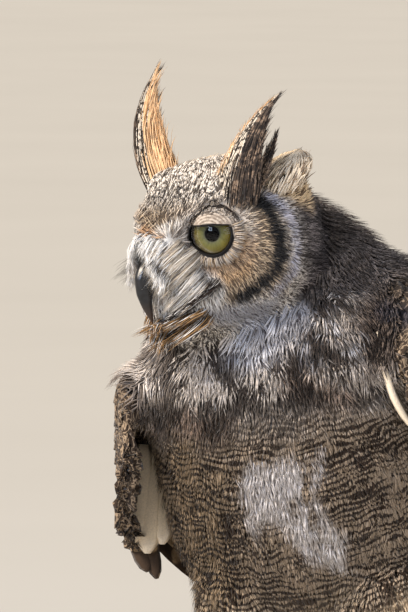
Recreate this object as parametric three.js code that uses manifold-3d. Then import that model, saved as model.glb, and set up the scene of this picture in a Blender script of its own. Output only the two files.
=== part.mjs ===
// A great horned owl, life size, standing on a flat floor and looking down past its right side.
// Millimetres, +Z up. The body faces -Y, so +X is the bird's own left. Every form is the outer
// surface of the plumage, out to the tips of the feathers. The origin is on the floor, under the
// middle of the whole bird.

import * as THREE from "three";
import { mergeVertices } from "three/addons/utils/BufferGeometryUtils.js";
import Module from "manifold-3d";

const wasm = await Module();
wasm.setup();
const V = (x, y, z) => new THREE.Vector3(x, y, z);
const { degToRad, lerp, smoothstep, clamp } = THREE.MathUtils;

// ---------------------------------------------------------------- driving dimensions

const GAP = 0.35; // air between neighbouring pieces
const WING_GAP = 0.7; // air between the layers of a wing

// Posture: the trunk leans to the bird's right about its hips, and the head turns further.
const HIPS = V(0, 10, 120);
const TRUNK_LEAN = 9;
const HEAD_CENTRE = V(-43, -42, 331);
const HEAD_YAW = 35;
const HEAD_PITCH = 12;

// Trunk: the spine runs from the neck to the root of the tail, each list at equal steps along it.
const TRUNK = {
  spine: [V(0, -24, 318), V(0, -14, 280), V(0, 0, 236), V(0, 14, 192), V(0, 28, 146), V(0, 46, 102)],
  width: [60, 82, 88, 93, 104, 110],
  front: [48, 66, 71, 73, 74, 70],
  back: [48, 70, 75, 71, 64, 44],
  blunt: 0.3,
};

// Neck: a hunched cowl from behind the head down to the mantle.
const NECK = {
  spine: [V(-40, -12, 355), V(-35, 2, 325), V(-27, 5, 292), V(-16, 5, 246)],
  width: [48, 60, 73, 72],
  front: [30, 48, 60, 56],
  back: [34, 47, 58, 58],
};

// Head, in its own frame: half sizes, then the features of the face.
const HEAD = { half: 57, front: 52, back: 52, crown: 42, chin: 55 };
const EYE = { x: 25, y: -30, z: 6.4, radius: 16 };
const DISC = { x: 27, z: 4, dish: 8, hollow: 21, radius: 42, rim: 3, rimWidth: 7 };
const BROW = { rise: 9, inner: [8, 13], outer: [38, 42], width: 10 };
const BRIDGE = { rise: 8, top: [0, 6], bottom: [0, -22], width: 12 };
const LORES = { rise: 10, top: [8, 12], bottom: [17, -26], width: 9 };
const CHIN = { rise: 14, z: -44, width: 20, height: 13 };

const BILL = {
  spine: [V(0, -46, -6), V(0, -58, -6), V(0, -67.5, -17), V(0, -65, -36)],
  width: [9, 8.5, 6, 2.4],
  front: [11, 10, 7, 2.4],
  blunt: 0.6,
};
const LOWER_BILL = {
  spine: [V(0, -42, -24), V(0, -52, -26), V(0, -61, -30)],
  width: [8, 7, 4],
  front: [4, 3.5, 2],
};

// Ear tufts: root, middle and tip in the head's frame.
const TUFTS = {
  left: [V(31, -16, 28), V(40, -8, 57), V(48, 9, 77)],
  right: [V(-33, -17, 30), V(-47, -10, 62), V(-46, 1, 91)],
};
const TUFT = { width: [13, 10.5, 3.5], depth: [9, 6.5, 2] };

// The folded wings lie on a shell round the trunk that runs on to the end of the tail.
const SHELL = {
  spine: [
    V(0, -24, 318), V(0, -14, 280), V(0, 0, 236), V(0, 14, 192),
    V(0, 34, 148), V(0, 70, 106), V(0, 110, 66), V(0, 148, 32),
  ],
  width: [52, 84, 98, 107, 107, 84, 54, 34],
  front: [46, 68, 77, 79, 77, 62, 36, 20],
  back: [46, 71, 81, 82, 70, 45, 24, 14],
};
// On it, v runs from 0 at the neck to 1 at the end of the tail, and angles go round from the breast.
const COVERTS = {
  thick: 9, lift: 5, top: 0.09, bottom: 0.6, cutaway: 0.15,
  front: [80, 52, 46, 48, 54, 66],
  rear: [118, 158, 168, 170, 166, 150],
};
const SECONDARIES = {
  count: 3, half: 29, narrowing: 0.12, thick: 2.6, lift: 4, step: 0.7,
  root: { v: [0.3, 0.3], angle: [108, 164] },
  tip: { v: [0.76, 0.72], angle: [122, 162] },
};
const PRIMARIES = {
  count: 4, half: 13, narrowing: 0, thick: 2.6, lift: -5, step: 0.5,
  root: { v: [0.5, 0.5], angle: [100, 120] },
  tip: { v: [0.84, 0.98], angle: [132, 158] },
};
const VANE_TAPER = [0.9, 0.95, 1, 1, 0.9];
const VANE_BEND = 1.3;

const TAIL = {
  root: V(0, 66, 122), dip: 46, length: 138, half: 17, thick: 2.6, pairs: 3, spread: 6,
  taper: [0.5, 0.9, 1, 1, 0.85], shortening: 3, apart: 3, step: 1.1,
};

// Legs and feet.
const LEG_X = 36;
const LEG_Y = 10;
const THIGH = {
  top: 158, bottom: 44,
  out: [46, 45, 42, 38, 36],
  width: [34, 38, 37, 29, 20],
  depth: [36, 46, 44, 32, 21],
};
const TARSUS = {
  top: 70, bottom: 8,
  out: [36, 36, 36, 36],
  width: [17, 17, 16, 17],
  depth: [18, 18, 17, 18],
};
const TOE = {
  height: 6.6, arch: 4,
  reach: [4, 16, 26, 34, 42],
  width: [7.6, 7.6, 6.6, 7.6, 6.2],
};
const TOES = {
  hallux: { turn: 192, length: 27 },
  inner: { turn: -16, length: 38 },
  middle: { turn: 16, length: 45 },
  outer: { turn: 96, length: 38 },
};
const CLAW = { length: 26, radius: 3.7, point: 0.6, rise: 7.7, top: 5.6, tip: 1.5 };
const HUB = { radius: 15, flatness: 0.8, height: 8.6 };

// ---------------------------------------------------------------- materials

const finish = (color, roughness) => new THREE.MeshStandardMaterial({ color, roughness, metalness: 0 });
const CROWN = finish("#8f7f70", 0.9);
const BREAST = finish("#a18c74", 0.9);
const MANTLE = finish("#6f6257", 0.9);
const QUILLS = finish("#7d6c5a", 0.8);
const LEGGINGS = finish("#c2ac8c", 0.9);
const HORN = finish("#24262b", 0.35);
const IRIS = finish("#c2b445", 0.1);

// ---------------------------------------------------------------- tools

// A closed solid from a three.js geometry, with its shared corners merged.
function solid(geometry) {
  const bare = geometry.clone();
  bare.deleteAttribute("normal");
  bare.deleteAttribute("uv");
  const { attributes, index } = mergeVertices(bare, 1e-3);
  return new wasm.Manifold(
    new wasm.Mesh({
      numProp: 3,
      vertProperties: attributes.position.array,
      triVerts: new Uint32Array(index.array),
    }),
  );
}

// The largest body of a solid, without the slivers that a cut leaves.
function whole(shape) {
  return shape.decompose().sort((a, b) => b.volume() - a.volume())[0];
}

// A solid cut clear of its neighbours.
function clear(shape, ...neighbours) {
  return whole(neighbours.reduce((rest, other) => rest.subtract(other), shape));
}

function join(shapes) {
  return shapes.reduce((all, one) => all.add(one));
}

function named(name, shape, material) {
  const { numProp, vertProperties, triVerts } = shape.getMesh();
  const at = new THREE.InterleavedBufferAttribute(
    new THREE.InterleavedBuffer(vertProperties, numProp), 3, 0,
  );
  const geometry = new THREE.BufferGeometry().setAttribute("position", at).setIndex([...triVerts]);
  const mesh = new THREE.Mesh(geometry, material);
  mesh.name = name;
  return mesh;
}

// A smooth value along a list of values at equal steps.
function along(values) {
  const line = new THREE.SplineCurve(values.map((y, x) => new THREE.Vector2(x, y)));
  return (t) => line.getPoint(clamp(t, 0, 1)).y;
}

// How full a piece is towards its ends: 1 is a ball's fullness and 0 a drum's.
const ROUND = 0.5;
const PADDED = 0.35;

// A sphere whose every point is put elsewhere: t runs from pole to pole, and (x, y) is its place
// on a unit circle, drawn in to nothing at the poles.
function deformed(place, around, steps, blunt = ROUND) {
  const geometry = new THREE.SphereGeometry(1, around, steps, Math.PI / around);
  const { position } = geometry.attributes;
  for (let i = 0; i < position.count; i++) {
    const p = V().fromBufferAttribute(position, i);
    const ring = Math.hypot(p.x, p.z);
    const cap = ring < 1e-6 ? 0 : ring ** blunt / ring;
    position.setXYZ(i, ...place(Math.acos(clamp(p.y, -1, 1)) / Math.PI, p.x * cap, p.z * cap));
  }
  return geometry;
}

// A rounded form: oval rings on a spine, with half widths along X and half depths across it.
function form({ spine, width, front, back = front }, grow, { around, steps, side = V(1, 0, 0), blunt }) {
  const line = new THREE.CatmullRomCurve3(spine);
  const [across, ahead, behind] = [along(width), along(front), along(back)];
  const place = (t, x, y) => {
    const run = line.getTangent(t);
    const out = run.clone().cross(side).normalize();
    const wide = out.clone().cross(run);
    const reach = (y > 0 ? ahead(t) : behind(t)) + grow;
    const ends = run.multiplyScalar(-grow * Math.cos(t * Math.PI));
    return line.getPoint(t).add(ends).addScaledVector(wide, x * (across(t) + grow))
      .addScaledVector(out, y * reach);
  };
  return deformed(place, around, steps, blunt);
}

const placed = (geometry, matrix) => geometry.applyMatrix4(matrix);

// ---------------------------------------------------------------- frames

const turned = (x, y, z) => new THREE.Matrix4().makeRotationFromEuler(
  new THREE.Euler(degToRad(x), degToRad(y), degToRad(z), "ZYX"),
);
const shifted = (v) => new THREE.Matrix4().makeTranslation(v);

const LEANING = shifted(HIPS).multiply(turned(0, -TRUNK_LEAN, 0))
  .multiply(shifted(HIPS.clone().negate()));
const HEAD_FRAME = shifted(HEAD_CENTRE).multiply(turned(HEAD_PITCH, 0, -HEAD_YAW));

// ---------------------------------------------------------------- trunk and neck

const trunkForm = (grow) => form(TRUNK, grow, { around: 22, steps: 13, blunt: TRUNK.blunt });
const trunk = (grow = 0) => solid(placed(trunkForm(grow), LEANING));
const neck = (grow = 0) => solid(form(NECK, grow, { around: 18, steps: 9 }));

// ---------------------------------------------------------------- head

// How near a point of the face is to a line between two places on it, from 1 on the line to 0.
function nearLine(x, z, [x0, z0], [x1, z1], width) {
  const [dx, dz] = [x1 - x0, z1 - z0];
  const t = clamp(((x - x0) * dx + (z - z0) * dz) / (dx * dx + dz * dz), 0, 1);
  return Math.exp(-(((x - x0 - t * dx) ** 2 + (z - z0 - t * dz) ** 2) / width ** 2));
}

// The head's surface in the direction (x, y, z): an egg, dished round each eye inside a raised
// rim, with the two brows, the bridge over the bill and a full chin standing proud.
function headPoint(x, y, z) {
  const p = V(x * HEAD.half, y * (y < 0 ? HEAD.front : HEAD.back), z * (z > 0 ? HEAD.crown : HEAD.chin));
  const facing = smoothstep(-y, 0.05, 0.5);
  const side = Math.abs(p.x);
  const fromEye = Math.hypot(side - DISC.x, p.z - DISC.z);
  const dish = DISC.dish * Math.exp(-((fromEye / DISC.hollow) ** 2));
  const rim = DISC.rim * Math.exp(-(((fromEye - DISC.radius) / DISC.rimWidth) ** 2));
  const brow = BROW.rise * nearLine(side, p.z, BROW.inner, BROW.outer, BROW.width);
  const bridge = BRIDGE.rise * nearLine(side, p.z, BRIDGE.top, BRIDGE.bottom, BRIDGE.width);
  const lores = LORES.rise * nearLine(side, p.z, LORES.top, LORES.bottom, LORES.width);
  const chin = CHIN.rise * Math.exp(-((side / CHIN.width) ** 2 + ((p.z - CHIN.z) / CHIN.height) ** 2));
  const proud = facing * (brow + bridge + lores + chin - dish) + rim * smoothstep(-y, -0.3, 0.2);
  return p.addScaledVector(V(x, y, z), proud);
}

function headForm(grow = 0) {
  const geometry = new THREE.SphereGeometry(1, 28, 18).rotateX(Math.PI / 2);
  const { position } = geometry.attributes;
  for (let i = 0; i < position.count; i++) {
    const d = V().fromBufferAttribute(position, i).normalize();
    position.setXYZ(i, ...headPoint(d.x, d.y, d.z).addScaledVector(d, grow));
  }
  return geometry;
}

const eyeForm = (side, grow = 0) =>
  new THREE.SphereGeometry(EYE.radius + grow, 12, 8).translate(side * EYE.x, EYE.y, EYE.z);
const billForm = (grow = 0) => form(BILL, grow, { around: 10, steps: 10, blunt: BILL.blunt });
const lowerBillForm = (grow = 0) => form(LOWER_BILL, grow, { around: 8, steps: 6 });

function tuftForm(spine, grow = 0) {
  return form({ spine, width: TUFT.width, front: TUFT.depth }, grow, { around: 8, steps: 9 });
}

// ---------------------------------------------------------------- wings

const shellLine = new THREE.CatmullRomCurve3(SHELL.spine);
const shellWidth = along(SHELL.width);
const shellFront = along(SHELL.front);
const shellBack = along(SHELL.back);

// A point on the shell: t along it, the angle round it from the breast, and how far it stands off.
function onShell(t, angle, off) {
  const run = shellLine.getTangent(t);
  const out = run.clone().cross(V(1, 0, 0)).normalize();
  const turn = degToRad(angle);
  const depth = angle < 90 ? shellFront(t) : shellBack(t);
  return shellLine.getPoint(t)
    .add(V(Math.sin(turn) * (shellWidth(t) + off), 0, 0))
    .addScaledVector(out, Math.cos(turn) * (depth + off));
}

// A closed piece on the shell, for the left wing: its own t runs from one end to the other.
function shellForm({ at, half, thick, lift }, grow, around, steps) {
  const place = (t, x, y) => {
    const [v, angle] = at(t, x);
    const wide = x * (half(t) + grow);
    const swing = (wide / (shellWidth(v) + 5)) * (180 / Math.PI);
    const ends = (-grow * Math.cos(t * Math.PI)) / shellLine.getLength();
    return onShell(v + ends, angle + swing, lift(t, x) + (y * (thick(t) + 2 * grow)) / 2);
  };
  return deformed(place, around, steps, PADDED);
}

const mirrored = (geometry) => {
  const other = geometry.clone().scale(-1, 1, 1);
  const order = other.index.array;
  for (let i = 0; i < order.length; i += 3) [order[i], order[i + 1]] = [order[i + 1], order[i]];
  return other;
};

const onSide = (geometry, side) => placed(side > 0 ? geometry : mirrored(geometry), LEANING);

// The shoulder and its coverts: one padded shield from the shoulder over the wrist.
function covertsShape(side, grow = 0) {
  const { thick, top, bottom, cutaway } = COVERTS;
  const front = along(COVERTS.front);
  const rear = along(COVERTS.rear);
  const shape = {
    at: (t, x) => [lerp(top, bottom - cutaway * smoothstep(x, -0.5, 1), t), (front(t) + rear(t)) / 2],
    half: (t) => degToRad((rear(t) - front(t)) / 2) * SHELL.width[2],
    thick: () => thick,
    lift: (t, x) => thick / 2 + COVERTS.lift * smoothstep(-x, 0.4, 1) * Math.sin(t * Math.PI),
  };
  return solid(onSide(shellForm(shape, grow, 16, 9), side));
}

// A row of long vanes on the shell, each flat box of a feather running from its root to its tip.
function vanesShape(side, { count, half, narrowing, thick, lift, step, root, tip }, grow = 0) {
  const taper = along(VANE_TAPER);
  const vanes = Array.from({ length: count }, (_, i) => {
    const k = i / (count - 1);
    const [v0, v1] = [lerp(...root.v, k), lerp(...tip.v, k)];
    const [angle0, angle1] = [lerp(...root.angle, k), lerp(...tip.angle, k)];
    const shape = {
      at: (t) => [lerp(v0, v1, t), lerp(angle0, angle1, t ** VANE_BEND)],
      half: (t) => half * (1 - narrowing * k) * taper(t) * Math.SQRT2,
      thick: () => thick * Math.SQRT2,
      lift: () => lift + step * i,
    };
    return solid(onSide(shellForm(shape, grow, 4, 7), side));
  });
  return join(vanes);
}

const secondariesShape = (side, grow) => vanesShape(side, SECONDARIES, grow);
const primariesShape = (side, grow) => vanesShape(side, PRIMARIES, grow);

// ---------------------------------------------------------------- tail

function tailShape(grow = 0) {
  const { root, dip, length, half, thick, pairs, spread, taper } = TAIL;
  const feather = (rank, side) => {
    const end = length - TAIL.shortening * rank;
    const out = side * (2 + TAIL.apart * rank);
    const flat = {
      spine: taper.map((_, i) => V(out, 0, (-end * i) / (taper.length - 1))),
      width: taper.map((share) => half * share * Math.SQRT2),
      front: taper.map(() => thick * Math.SQRT1_2),
    };
    const blade = form(flat, grow, { around: 4, steps: 5, blunt: PADDED });
    blade.translate(0, -TAIL.step * rank, 0).applyMatrix4(turned(0, -side * spread * (rank + 0.4), 0));
    return solid(placed(blade, LEANING.clone().multiply(shifted(root)).multiply(turned(90 - dip, 0, 0))));
  };
  const ranks = Array.from({ length: pairs }, (_, rank) => [feather(rank, 1), feather(rank, -1)]);
  return join(ranks.flat());
}

// ---------------------------------------------------------------- legs and feet

// A leg's rings from top to bottom, each so far out to the side.
function legForm(side, { top, bottom, out, width, depth }, y, grow) {
  const spine = out.map((x, i) => V(side * x, y, lerp(top, bottom, i / (out.length - 1))));
  return form({ spine, width, front: depth }, grow, { around: 12, steps: 7, blunt: PADDED });
}

const thigh = (side, grow = 0) => solid(legForm(side, THIGH, LEG_Y + 6, grow));
const tarsus = (side, grow = 0) => solid(legForm(side, TARSUS, LEG_Y, grow));
const floorBlock = () => solid(new THREE.BoxGeometry(600, 600, 60).translate(0, 0, -30));

function toward(side, turn, reach, height) {
  const a = degToRad(turn);
  return V(side * (LEG_X + Math.sin(a) * reach), LEG_Y - Math.cos(a) * reach, height);
}

function hub(side, grow = 0) {
  const ball = new THREE.SphereGeometry(HUB.radius + grow, 10, 6).scale(1, 1, HUB.flatness);
  return solid(ball.translate(side * LEG_X, LEG_Y, HUB.height));
}

// The level direction across a toe that points so far round from straight ahead.
function across(side, turn) {
  const a = degToRad(turn);
  return V(-side * Math.cos(a), -Math.sin(a), 0);
}

// A feathered toe: three pads on a low arch, cut flat where it meets the floor.
function toe(side, { turn, length }, grow = 0) {
  const stretch = (length + TOE.height) / TOE.reach.at(-1);
  const spine = TOE.reach.map((s, i) => toward(side, turn, s * stretch, TOE.height + (i ? 0 : TOE.arch)));
  const rings = { around: 6, steps: 5, side: across(side, turn), blunt: PADDED };
  return solid(form({ spine, width: TOE.width, front: TOE.width }, grow, rings));
}

// A curved claw from inside the end of its toe down to just above the floor.
function claw(side, { turn, length }, grow = 0) {
  const spine = [0, 0.35, 0.7, 1].map((s) => {
    const arch = CLAW.rise * Math.sin(Math.PI * lerp(0.25, 1, s));
    return toward(side, turn, length + 1 + CLAW.length * s, lerp(CLAW.top, CLAW.tip, s) + arch);
  });
  const width = [CLAW.radius, CLAW.radius * 0.85, CLAW.radius * 0.55, CLAW.point];
  const rings = { around: 5, steps: 6, side: across(side, turn) };
  return solid(form({ spine, width, front: width }, grow, rings));
}

// ---------------------------------------------------------------- the bird

const owl = new THREE.Group();

function addHead() {
  const group = new THREE.Group();
  group.applyMatrix4(HEAD_FRAME);
  const bill = solid(billForm());
  const lower = clear(solid(lowerBillForm()), solid(billForm(GAP)));
  const sockets = [1, -1].map((side) => solid(eyeForm(side, GAP)));
  const head = clear(
    solid(headForm()), ...sockets, solid(billForm(GAP)), solid(lowerBillForm(GAP)),
  );
  group.add(named("head", head, CROWN));
  group.add(named("bill_upper", bill, HORN));
  group.add(named("bill_lower", lower, HORN));
  [["left", 1], ["right", -1]].forEach(([word, side]) => {
    group.add(named(`eye_${word}`, solid(eyeForm(side)), IRIS));
    const tuft = clear(solid(tuftForm(TUFTS[word])), solid(headForm(GAP)));
    group.add(named(`ear_tuft_${word}`, tuft, CROWN));
  });
  owl.add(group);
}

function addBody() {
  const head = solid(placed(headForm(GAP), HEAD_FRAME));
  const tufts = Object.values(TUFTS).map((s) => solid(placed(tuftForm(s, GAP), HEAD_FRAME)));
  const bills = [billForm(GAP), lowerBillForm(GAP)].map((b) => solid(placed(b, HEAD_FRAME)));
  const inFront = [head, ...tufts, ...bills];
  const body = clear(trunk(), ...inFront);
  const collar = clear(neck(), trunk(GAP), ...inFront);
  owl.add(named("trunk", body, BREAST), named("neck", collar, MANTLE));
  const tail = clear(tailShape(), trunk(GAP));
  owl.add(named("tail", tail, QUILLS));
  [["left", 1], ["right", -1]].forEach(([word, side]) => {
    const shoulder = clear(covertsShape(side), trunk(GAP), neck(GAP), ...inFront);
    const inner = [trunk(GAP), neck(GAP), covertsShape(side, WING_GAP), tailShape(GAP)];
    const secondaries = clear(secondariesShape(side), ...inner);
    const primaries = clear(primariesShape(side), ...inner, secondariesShape(side, WING_GAP));
    owl.add(named(`wing_coverts_${word}`, shoulder, MANTLE));
    owl.add(named(`wing_secondaries_${word}`, secondaries, QUILLS));
    owl.add(named(`wing_primaries_${word}`, primaries, QUILLS));
  });
}

function addLeg(word, side) {
  const inner = [trunk(GAP), covertsShape(side, GAP), secondariesShape(side, GAP), primariesShape(side, GAP)];
  const upper = clear(thigh(side), ...inner, tailShape(GAP));
  const shank = clear(tarsus(side), thigh(side, GAP), floorBlock());
  const ball = clear(hub(side), tarsus(side, GAP), floorBlock());
  owl.add(named(`thigh_${word}`, upper, LEGGINGS));
  owl.add(named(`tarsus_${word}`, shank, LEGGINGS));
  owl.add(named(`foot_${word}`, ball, LEGGINGS));
  const taken = [tarsus(side, GAP), hub(side, GAP), floorBlock()];
  Object.entries(TOES).forEach(([which, size]) => {
    owl.add(named(`toe_${which}_${word}`, clear(toe(side, size), ...taken), LEGGINGS));
    owl.add(named(`claw_${which}_${word}`, clear(claw(side, size), toe(side, size, GAP)), HORN));
    taken.push(toe(side, size, GAP));
  });
}

addHead();
addBody();
addLeg("left", 1);
addLeg("right", -1);

// The floor is at zero, and the origin is under the middle of the whole bird.
const bounds = new THREE.Box3().setFromObject(owl, true);
const middle = bounds.getCenter(V());
owl.position.set(-middle.x, -middle.y, -bounds.min.z);

export default owl;
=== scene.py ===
"""A great horned owl, life size, standing on the floor and looking down past its right side.

Metres, in the frame's own axes: +Z is up, the body faces -Y, and +X is the bird's own left.
One skin stands in for all the soft parts. Feathers are thin solid locks that lie over it.
"""

import math

import bmesh
import bpy
import numpy as np
from mathutils import Matrix, Vector
from mathutils.bvhtree import BVHTree
from mathutils.kdtree import KDTree


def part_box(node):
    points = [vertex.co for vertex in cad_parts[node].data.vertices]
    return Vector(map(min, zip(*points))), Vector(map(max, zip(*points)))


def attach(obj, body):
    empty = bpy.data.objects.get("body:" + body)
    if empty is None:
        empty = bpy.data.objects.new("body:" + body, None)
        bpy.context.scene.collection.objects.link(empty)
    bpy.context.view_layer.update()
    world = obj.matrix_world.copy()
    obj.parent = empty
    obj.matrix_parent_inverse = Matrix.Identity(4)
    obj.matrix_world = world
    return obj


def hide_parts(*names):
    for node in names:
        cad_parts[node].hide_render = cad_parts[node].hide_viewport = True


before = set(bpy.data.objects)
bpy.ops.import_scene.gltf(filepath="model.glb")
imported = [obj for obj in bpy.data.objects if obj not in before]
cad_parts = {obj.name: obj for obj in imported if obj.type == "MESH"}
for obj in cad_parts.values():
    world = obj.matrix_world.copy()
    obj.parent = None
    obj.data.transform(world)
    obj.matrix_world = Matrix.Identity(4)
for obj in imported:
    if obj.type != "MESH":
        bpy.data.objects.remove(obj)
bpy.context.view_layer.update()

MM = 0.001

# ---- driving dimensions

HEAD_YAW = -35  # degrees, to the bird's right
HEAD_PITCH = 12
TRUNK_LEAN = -9
HIPS = np.array([0, 10, 120]) * MM
LEG_AT = np.array([36, 10, 0]) * MM
EYE_AT = np.array([25, -30, 6.4]) * MM  # in the head's own frame, from its middle
EYE_RADIUS = 16 * MM
IRIS_RADIUS = 11.6 * MM
PUPIL_RADIUS = 4.5 * MM
GAZE_AZIMUTH = -4  # degrees: the way the left eye looks
GAZE_ELEVATION = 0.5
LID_CUT = 4.7 * MM  # how far above the pupil the upper lid comes down
LID_FOLDS = 50  # how closely the upper lid folds: 2 pi over this is one fold, in radians
FEATHERS_START = 16.8 * MM  # how far from an eye's middle the feathers of the face begin

VOXEL = 2.2 * MM
# How deep the coat is over each region, and how far its nodes are grown to close their clefts.
COAT_DEPTH = {"head": 3.5, "neck": 8, "trunk": 8, "wing": 3.5, "thigh": 6, "foot": 1.6}  # mm
SWELL = {"head": 0.6, "neck": 4, "trunk": 3, "wing": 1.6, "thigh": 0.6, "foot": 0.6}  # mm
REGIONS = list(COAT_DEPTH)
WING_TOP = 245 * MM  # the right shoulder is drawn down towards this height of the trunk
WING_EDGE = 96 * MM  # how far from the body's middle the wing's inner side ends
BAR_PITCH = 3.8 * MM
QUILL_BAR_PITCH = 20 * MM
BAKE_PATCH = 0.003  # of the unwrap, for each feather
TICK = 0.85  # how dark a single dark barb is

# The camera: its height of view, how many pixels a metre takes, and where the left eye falls.
VIEW_AZIMUTH = 15
VIEW_ELEVATION = 5
VIEW_DISTANCE = 4.0
PICTURE = (408, 612)
PIXELS_PER_METRE = 1750
EYE_PIXEL = (217.5, 232.9)
FLOOR_RADIUS = 60
LIT_AT = (0, 0, 0.25)  # the middle of the bird, where every lamp points


# ---- frames

def rotation(axis, degrees):
    return np.array(Matrix.Rotation(math.radians(degrees), 3, axis))


def middle(node):
    low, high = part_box(node)
    return np.array((low + high) / 2)


HEAD_TURN = rotation("Z", HEAD_YAW) @ rotation("X", HEAD_PITCH)
HEAD_AT = (middle("eye_left") + middle("eye_right")) / 2 - HEAD_TURN @ (EYE_AT * [0, 1, 1])
LEAN = rotation("Y", TRUNK_LEAN)
STANDS_AT = (middle("foot_left") - LEG_AT) * [1, 1, 0]


def to_head(points):
    return (points - HEAD_AT) @ HEAD_TURN


def from_head(points):
    return points @ HEAD_TURN.T + HEAD_AT


def to_body(points):
    return (points - STANDS_AT - HIPS) @ LEAN + HIPS


def from_body(points):
    return (points - HIPS) @ LEAN.T + HIPS + STANDS_AT


# ---- small tools

def unit(vectors):
    return vectors / np.maximum(np.linalg.norm(vectors, axis=-1, keepdims=True), 1e-12)


def ramp(values, start, end):
    """0 before start, 1 after end, and smooth between them."""
    t = np.clip((values - start) / (end - start), 0, 1)
    return t * t * (3 - 2 * t)


def near(points, line, reach, soft):
    """1 within reach of a line through places, falling to 0 over soft, all in millimetres."""
    line, best = np.array(line) * MM, np.full(len(points), 1e3)
    for a, b in zip(line[:-1], line[1:]):
        run = b - a
        t = np.clip(((points - a) @ run) / max(run @ run, 1e-12), 0, 1)
        best = np.minimum(best, np.linalg.norm(points - a - t[:, None] * run, axis=1))
    return 1 - ramp(best, reach * MM, (reach + soft) * MM)


def linear(code):
    """An sRGB hex colour as linear light."""
    value = np.array([int(code[i:i + 2], 16) for i in (1, 3, 5)]) / 255
    return np.where(value <= 0.04045, value / 12.92, ((value + 0.055) / 1.055) ** 2.4)


def drift(points, size, seed):
    """Smooth waves through space, about -1 to 1, with humps so many millimetres across."""
    rng = np.random.default_rng(seed)
    runs = unit(rng.normal(size=(12, 3))) * rng.uniform(0.6, 1.4, (12, 1)) * math.pi / (size * MM)
    return np.sin(points @ runs.T + rng.uniform(0, 2 * math.pi, 12)).sum(-1) / 3


def wandering(points, size, reach):
    """The same points, moved about smoothly by a reach in millimetres."""
    return points + reach * MM * np.stack([drift(points, size, seed) for seed in (1, 2, 3)], 1)


def eased(values, share):
    """A smooth line through evenly spaced values, read at a share of its length."""
    values = np.array(values, float)
    last = len(values) - 1
    where = np.clip(share, 0, 1) * last
    i = np.minimum(where.astype(int), last - 1)
    f = where - i
    a, b, c, d = (values[np.clip(i + k, 0, last)] for k in (-1, 0, 1, 2))
    return b + 0.5 * f * (c - a + f * (2 * a - 5 * b + 4 * c - d + f * (3 * (b - c) + d - a)))


def placed(name, data):
    """A new object in the scene."""
    made = bpy.data.objects.new(name, data)
    bpy.context.scene.collection.objects.link(made)
    return made


def new_piece(name, mesh, material, nodes=()):
    """A finished piece: it rides on the bird, and stands for the CAD nodes that it replaces."""
    piece = placed(name, mesh)
    mesh.materials.clear()
    mesh.materials.append(material)
    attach(piece, "root")
    if nodes:
        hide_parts(*nodes)
    return piece


def mesh_of(name, bm):
    mesh = bpy.data.meshes.new(name)
    bm.to_mesh(mesh)
    bm.free()
    return mesh


def join(bm, other):
    """Adds another bmesh to the first one."""
    part = mesh_of("part", other)
    bm.from_mesh(part)
    bpy.data.meshes.remove(part)


def values_of(items, key, width, kind=float):
    """One property of a mesh's parts as an array with a row for each."""
    values = np.empty(len(items) * width, kind)
    items.foreach_get(key, values)
    return values.reshape(-1, width)


def positions(mesh):
    return values_of(mesh.vertices, "co", 3)


def normals_of(mesh):
    return values_of(mesh.vertex_normals, "vector", 3, np.float32).astype(float)


def nearest_on(tree, points):
    """The nearest place on a search tree's surface to each point, its normal, and its face."""
    found = [tree.find_nearest(p) for p in points.tolist()]
    return [np.array([f[i] for f in found]) for i in range(3)]


def attribute(mesh, name, kind, values):
    field = {"FLOAT": "value", "FLOAT_VECTOR": "vector", "FLOAT_COLOR": "color"}[kind]
    mesh.attributes.new(name, kind, "POINT").data.foreach_set(field, values.astype(np.float32).ravel())


def nodes_named(*starts):
    return sorted(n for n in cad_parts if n.startswith(starts))


def copy_of(nodes):
    """CAD nodes as one bmesh with its corners merged."""
    bm = bmesh.new()
    for node in nodes:
        bm.from_mesh(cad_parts[node].data)
    bmesh.ops.remove_doubles(bm, verts=bm.verts, dist=1e-6)
    bm.normal_update()
    return bm


def remeshed(bm, voxel):
    """The same shape as one even closed mesh."""
    work = placed("work", mesh_of("work", bm))
    modifier = work.modifiers.new("even", "REMESH")
    modifier.mode = "VOXEL"
    modifier.voxel_size = voxel
    done = bpy.data.meshes.new_from_object(work.evaluated_get(bpy.context.evaluated_depsgraph_get()))
    bpy.data.objects.remove(work)
    result = bmesh.new()
    result.from_mesh(done)
    bpy.data.meshes.remove(done)
    return result


def smoothed(bm, rounds):
    for _ in range(rounds):
        bmesh.ops.smooth_vert(bm, verts=bm.verts, factor=0.5, use_axis_x=True, use_axis_y=True,
                              use_axis_z=True)


# ---- material nodes

class Finish:
    """A material under construction: one call adds a node with its settings, links and colours."""

    def __init__(self, name):
        self.material = bpy.data.materials.new(name)
        self.material.use_nodes = True
        self.tree = self.material.node_tree
        self.tree.nodes.clear()

    def add(self, kind, inputs=(), stops=(), **settings):
        node = self.tree.nodes.new("ShaderNode" + kind)
        for key, value in settings.items():
            setattr(node, key, value)
        for key, value in dict(inputs).items():
            if isinstance(value, bpy.types.Node):
                value = value.outputs[0]
            if isinstance(value, bpy.types.NodeSocket):
                self.tree.links.new(value, node.inputs[key])
            else:
                node.inputs[key].default_value = value
        for i, (position, code) in enumerate(stops):
            elements = node.color_ramp.elements
            stop = elements[i] if i < len(elements) else elements.new(position)
            stop.position, stop.color = position, colour(code)
        return node

    def ends(self, shader):
        self.add("OutputMaterial", {"Surface": shader})
        return self.material


def colour(code):
    return (*linear(code), 1)


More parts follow.
